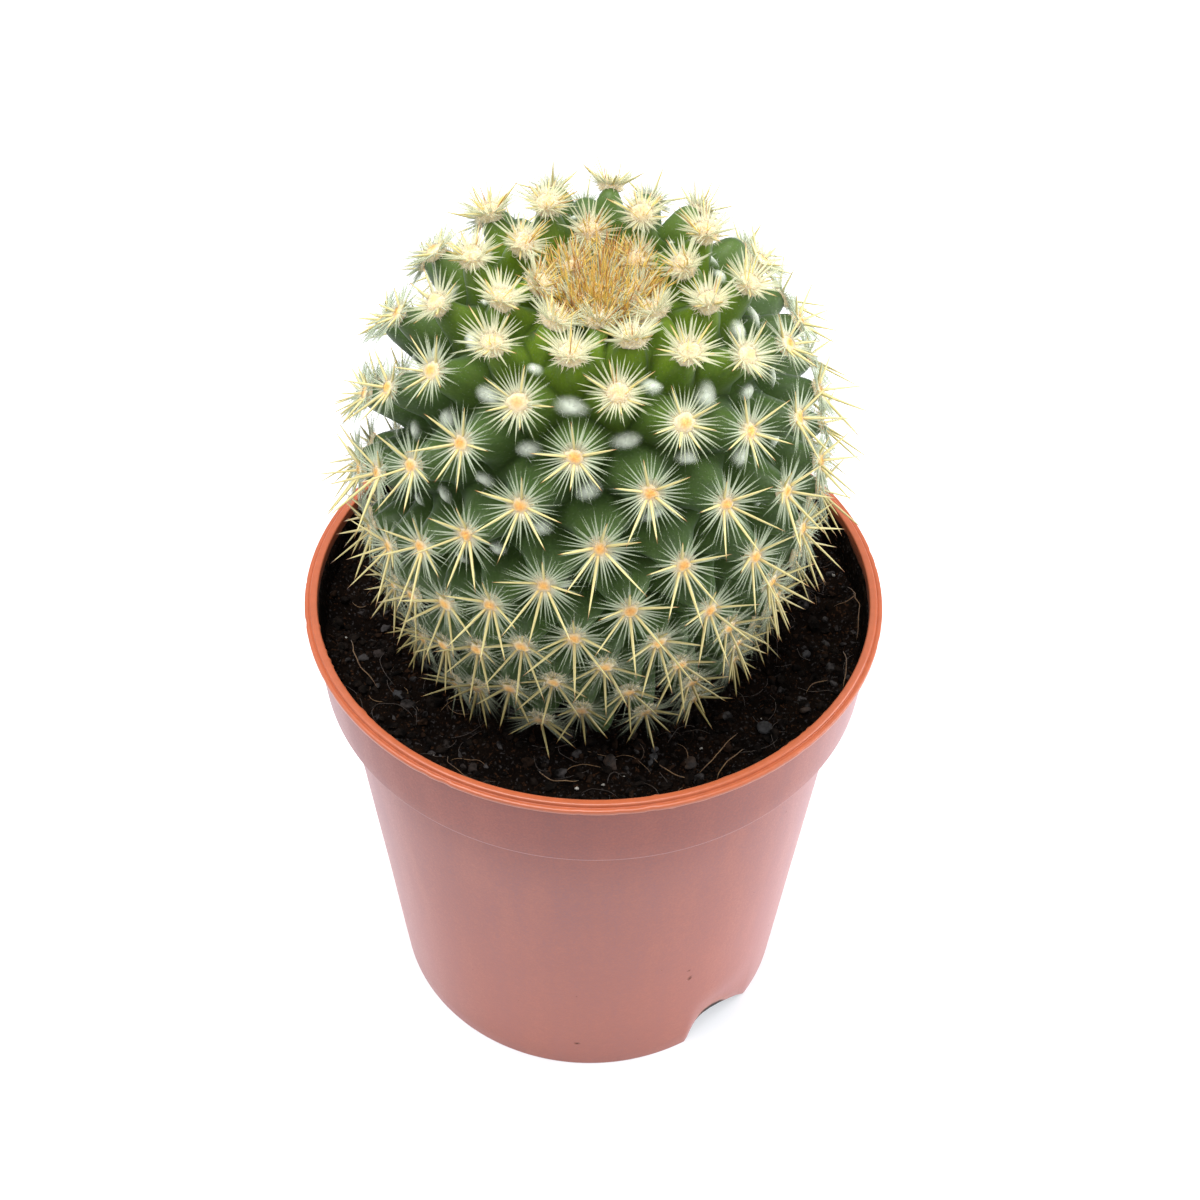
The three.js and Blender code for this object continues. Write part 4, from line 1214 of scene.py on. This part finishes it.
# Central spines: six stiff needles on each areole, pale yellow with orange to red-brown tips.
# The downward ones are the longest, and those of the youngest areoles stand up close together.
SPINE_ANGLES = np.array([80, -80, 136, -138, 181, 3])
SPINE_SPREAD = math.radians(58)
SPINE_LENGTH = 5.2
YOUNG_SPINE_LENGTH = 3.6
UPWARD_SPINE_SHARE = 0.52
YOUNG_LOW_SHARE = 0.35
RIPE_FROM = math.radians(40)
RIPE_AT = math.radians(70)
SPINE_RING = 0.45
CENTRAL_ROOT_RADIUS = 0.126
CENTRAL_STEPS = 7
CENTRAL_SIDES = 5
CROWN_BUNCH = 14
CROWN_SPREAD = math.radians(22)
LOW_SHORTENING = 0.28
SHORT_ONES = (35, 43, 48, 56, 64, 69, 77)
SHORT_SHARE = 0.6
full_length = YOUNG_SPINE_LENGTH + (SPINE_LENGTH - YOUNG_SPINE_LENGTH) * tip_grown
full_length = full_length * (1 - LOW_SHORTENING * ease_between(number, 90, 150))
full_length = full_length * np.where(np.isin(number, SHORT_ONES), SHORT_SHARE, 1)


def draws(n, use):
    """A repeatable draw between 0 and 1 for each needle of areole n, for one use."""
    value = np.sin(n * 12.9898 + (np.arange(len(SPINE_ANGLES)) + use) * 78.233) * 43758.5453
    return value - np.floor(value)


def needle_share(angle, turn):
    """Length as a share of the longest: shorter towards the apex, and short on the low side while young."""
    low = (1 - np.cos(angle)) / 2
    youth = 1 - ease_between(turn, RIPE_FROM, RIPE_AT)
    young_share = 1 - (1 - YOUNG_LOW_SHARE) * youth * low ** 2
    return young_share * (UPWARD_SPINE_SHARE + (1 - UPWARD_SPINE_SHARE) * low)


central_paths, central_radii = [], []
central_taper = 1 - np.linspace(0, 1, CENTRAL_STEPS) ** 2.2 * 0.86
for n in bearing:
    turn = np.radians(SPINE_ANGLES + 24 * (draws(n, 0) - 0.5))
    spread = (CROWN_SPREAD if n < CROWN_BUNCH else SPINE_SPREAD) + 0.3 * (draws(n, 10) - 0.5)[:, None]
    length = full_length[n] * needle_share(turn, tip_turn[n]) * (0.88 + 0.24 * draws(n, 20))
    radial = spokes(n, turn)
    direction = areole_axis[n] * np.cos(spread) + radial * np.sin(spread)
    mouth = areole[n] + radial * SPINE_RING
    direction = above_soil(mouth, direction, length, LOWEST_SPINE)
    bend = radial * (draws(n, 30) - 0.35)[:, None] * 0.28
    bend = bend - areole_down[n] * (draws(n, 40) - 0.5)[:, None] * 0.2
    central_paths.append(strokes(mouth, direction, length, CENTRAL_STEPS, bend[:, None]))
    central_radii.append(CENTRAL_ROOT_RADIUS * (0.85 + 0.3 * draws(n, 50))[:, None] * central_taper)
central_paths = np.concatenate(central_paths)
central_paths[:, :, 2] = np.clip(central_paths[:, :, 2], SOIL_LEVEL + 0.6, SPINE_TOP)
central_number = np.repeat(bearing, len(SPINE_ANGLES))
# The central spines low on the body are dulled the same way, partly for age and partly as painted shade.
central_spines = strand_piece(
    "central_spines", central_paths, np.concatenate(central_radii), CENTRAL_SIDES,
    brown=1 - ease_between(central_number, 12, 34), worn=worn_and_shaded_low[central_number])
coat = new_material(
    central_spines, "yellow_needle", Roughness=0.38, IOR=1.5, Subsurface_Weight=0.12, Subsurface_Scale=0.0005,
    Subsurface_Radius=(1, 0.8, 0.4))
pale = strand_tones(
    coat, (0.74, 0.54, 0.21), (0.64, 0.56, 0.25), (0.42, 0.13, 0.035), 0.2, 0.82, 0.3, 0.7)
golden = strand_tones(
    coat, (0.84, 0.70, 0.33), (0.76, 0.62, 0.25), (0.42, 0.15, 0.04), 0.3, 0.66, 0.4)
coat.feed(Base_Color=coat.mix(coat.read("brown"), pale, golden))
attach(central_spines, "root")


# Crown bristles: the new spines of the youngest areoles, still packed together, golden with brown tips,
# which stand up out of the wool in the sunken crown.
BRISTLE_COUNT = 860
BUNCHES = range(4, 30)
BUNCH_SIZES = (3, 9)
BUNCH_SPREAD = math.radians(30)
BUNCH_LENGTH = (2.2, 3.9)
BUNCH_THICKNESS = (0.040, 0.065)
BRISTLE_STEPS = 6
BRUSH_RADIUS = 4.6
BRUSH_LENGTH = (2.0, 4.1)
BRUSH_THICKNESS = (0.050, 0.090)
BRUSH_FAN = math.radians(38)
dice = np.random.default_rng(1300)
reach = np.sqrt(dice.uniform(size=BRISTLE_COUNT))
turn = dice.uniform(0, FULL_TURN, BRISTLE_COUNT)
place = np.interp(reach * BRUSH_RADIUS, skin(turn_at(np.arange(60)))[:, 0], np.arange(60))
root, _ = skin_point(place, turn, np.full(BRISTLE_COUNT, 0.35))
fan = (BRUSH_FAN * reach + dice.normal(size=BRISTLE_COUNT) * 0.13)[:, None]
heading = up * np.cos(fan) + outward_at(turn + dice.normal(size=BRISTLE_COUNT) * 0.5) * np.sin(fan)
length = dice.uniform(*BRUSH_LENGTH, BRISTLE_COUNT) * (1 - 0.25 * reach)
heading = above_soil(root, heading @ lean.T, length, LOWEST_SPINE)
bristles = [(root, heading, length, dice.uniform(*BRUSH_THICKNESS, BRISTLE_COUNT))]

# The youngest areoles round the brush each bear a loose bunch of fine golden ones that stand nearly upright
for n in BUNCHES:
    bunch = BUNCH_SIZES[1] if tip[n, 1] > 0 else BUNCH_SIZES[0]
    radial = spokes(n, -math.pi / 2 - dice.uniform(0, FULL_TURN, bunch))
    spread = BUNCH_SPREAD * np.sqrt(dice.uniform(size=bunch))[:, None]
    upright = unit(areole_axis[n] * 0.55 + up * 0.45)
    heading = unit(upright * np.cos(spread) + radial * np.sin(spread))
    root = areole[n] + radial * 0.4 + areole_axis[n] * 0.1
    length = dice.uniform(*BUNCH_LENGTH, bunch) * (0.75 + 0.25 * tip_grown[n])
    heading = above_soil(root, heading, length, LOWEST_SPINE)
    bristles.append((root, heading, length, dice.uniform(*BUNCH_THICKNESS, bunch)))
root, heading, length, thickness = (np.concatenate(kind) for kind in zip(*bristles))
bend = dice.normal(size=root.shape)[:, None] * 0.2
bristle_paths = strokes(root, heading, length, BRISTLE_STEPS, bend)
bristle_paths[:, :, 2] = np.minimum(bristle_paths[:, :, 2], SPINE_TOP)
taper = 1 - np.linspace(0, 1, BRISTLE_STEPS) ** 2 * 0.85
crown_bristles = strand_piece("crown_bristles", bristle_paths, thickness[:, None] * taper, 5)
coat = new_material(
    crown_bristles, "golden_bristle", Roughness=0.4, IOR=1.5, Subsurface_Weight=0.1, Subsurface_Scale=0.0005,
    Subsurface_Radius=(1, 0.7, 0.3))
golden = strand_tones(
    coat, (0.93, 0.78, 0.34), (0.93, 0.71, 0.19), (0.44, 0.17, 0.035), 0.5, 0.66, 0.35)
brown = strand_tones(
    coat, (0.80, 0.54, 0.22), (0.54, 0.26, 0.08), (0.28, 0.09, 0.025), 0.3, 0.6, 0.3)
coat.feed(Base_Color=coat.mix(coat.fit(coat.read("lot"), 0.72, 0.76), golden, brown))
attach(crown_bristles, "root")


# Studio: a white sweep under and behind the pot, a large soft light overhead and two at the sides,
# and the camera where the photograph was taken from.
SWEEP_HALF = 3000.0
floor = make_piece("white_floor", [
    (-SWEEP_HALF, -SWEEP_HALF, 0), (SWEEP_HALF, -SWEEP_HALF, 0), (SWEEP_HALF, SWEEP_HALF, 0),
    (-SWEEP_HALF, SWEEP_HALF, 0)], [(0, 1, 2, 3)])
coat = new_material(
    floor, "white_paper", Roughness=0.9, Specular_IOR_Level=0.2, Emission_Color=(0.93, 0.96, 1),
    Emission_Strength=0.42)
coat.feed(Base_Color=coat.mix(coat.noise(60, 3), (0.62, 0.625, 0.635), (0.60, 0.605, 0.62)))


def soft_light(name, place, target, width, power):
    """A square area light that faces a target; places are in metres."""
    data = bpy.data.lights.new(name, "AREA")
    data.size = width
    data.energy = power
    lamp = bpy.data.objects.new(name, data)
    lamp.location = place
    lamp.rotation_euler = (Vector(target) - Vector(place)).to_track_quat("-Z", "Y").to_euler()
    bpy.context.scene.collection.objects.link(lamp)


soft_light("overhead", (-0.10, 0.00, 0.75), (0, 0, 0.06), 0.55, 7.4)
soft_light("left_side", (-0.65, 0.05, 0.25), (0, 0, 0.05), 0.45, 0.8)
soft_light("right_side", (0.65, 0.05, 0.25), (0, 0, 0.05), 0.45, 4.4)

scene = bpy.context.scene
scene.world = bpy.data.worlds.new("white_room")
scene.world.use_nodes = True
coat = Coat(scene.world.node_tree)
sky_height = coat.add("SeparateXYZ", {"Vector": coat.add("TexCoord", {})["Generated"]})["Z"]
sky = coat.mix(coat.fit(sky_height, 0.0, 0.85), (0.16, 0.16, 0.17), (0.95, 0.95, 0.97))
coat.fill(coat.tree.nodes["Background"], {"Color": sky})
scene.view_settings.view_transform = "Standard"
scene.view_settings.look = "None"

camera_data = bpy.data.cameras.new("camera")
camera_data.sensor_width = 36.0
camera_data.lens = PHOTO_FOCAL / PHOTO_SIDE * camera_data.sensor_width
camera_data.clip_start = 0.01
camera_data.clip_end = 20.0
camera = bpy.data.objects.new("camera", camera_data)
camera_turn = Matrix((camera_right, camera_up, -camera_ahead)).transposed().to_4x4()
camera.matrix_world = Matrix.Translation(Vector(CAMERA_PLACE) * MM) @ camera_turn
scene.collection.objects.link(camera)
scene.camera = camera
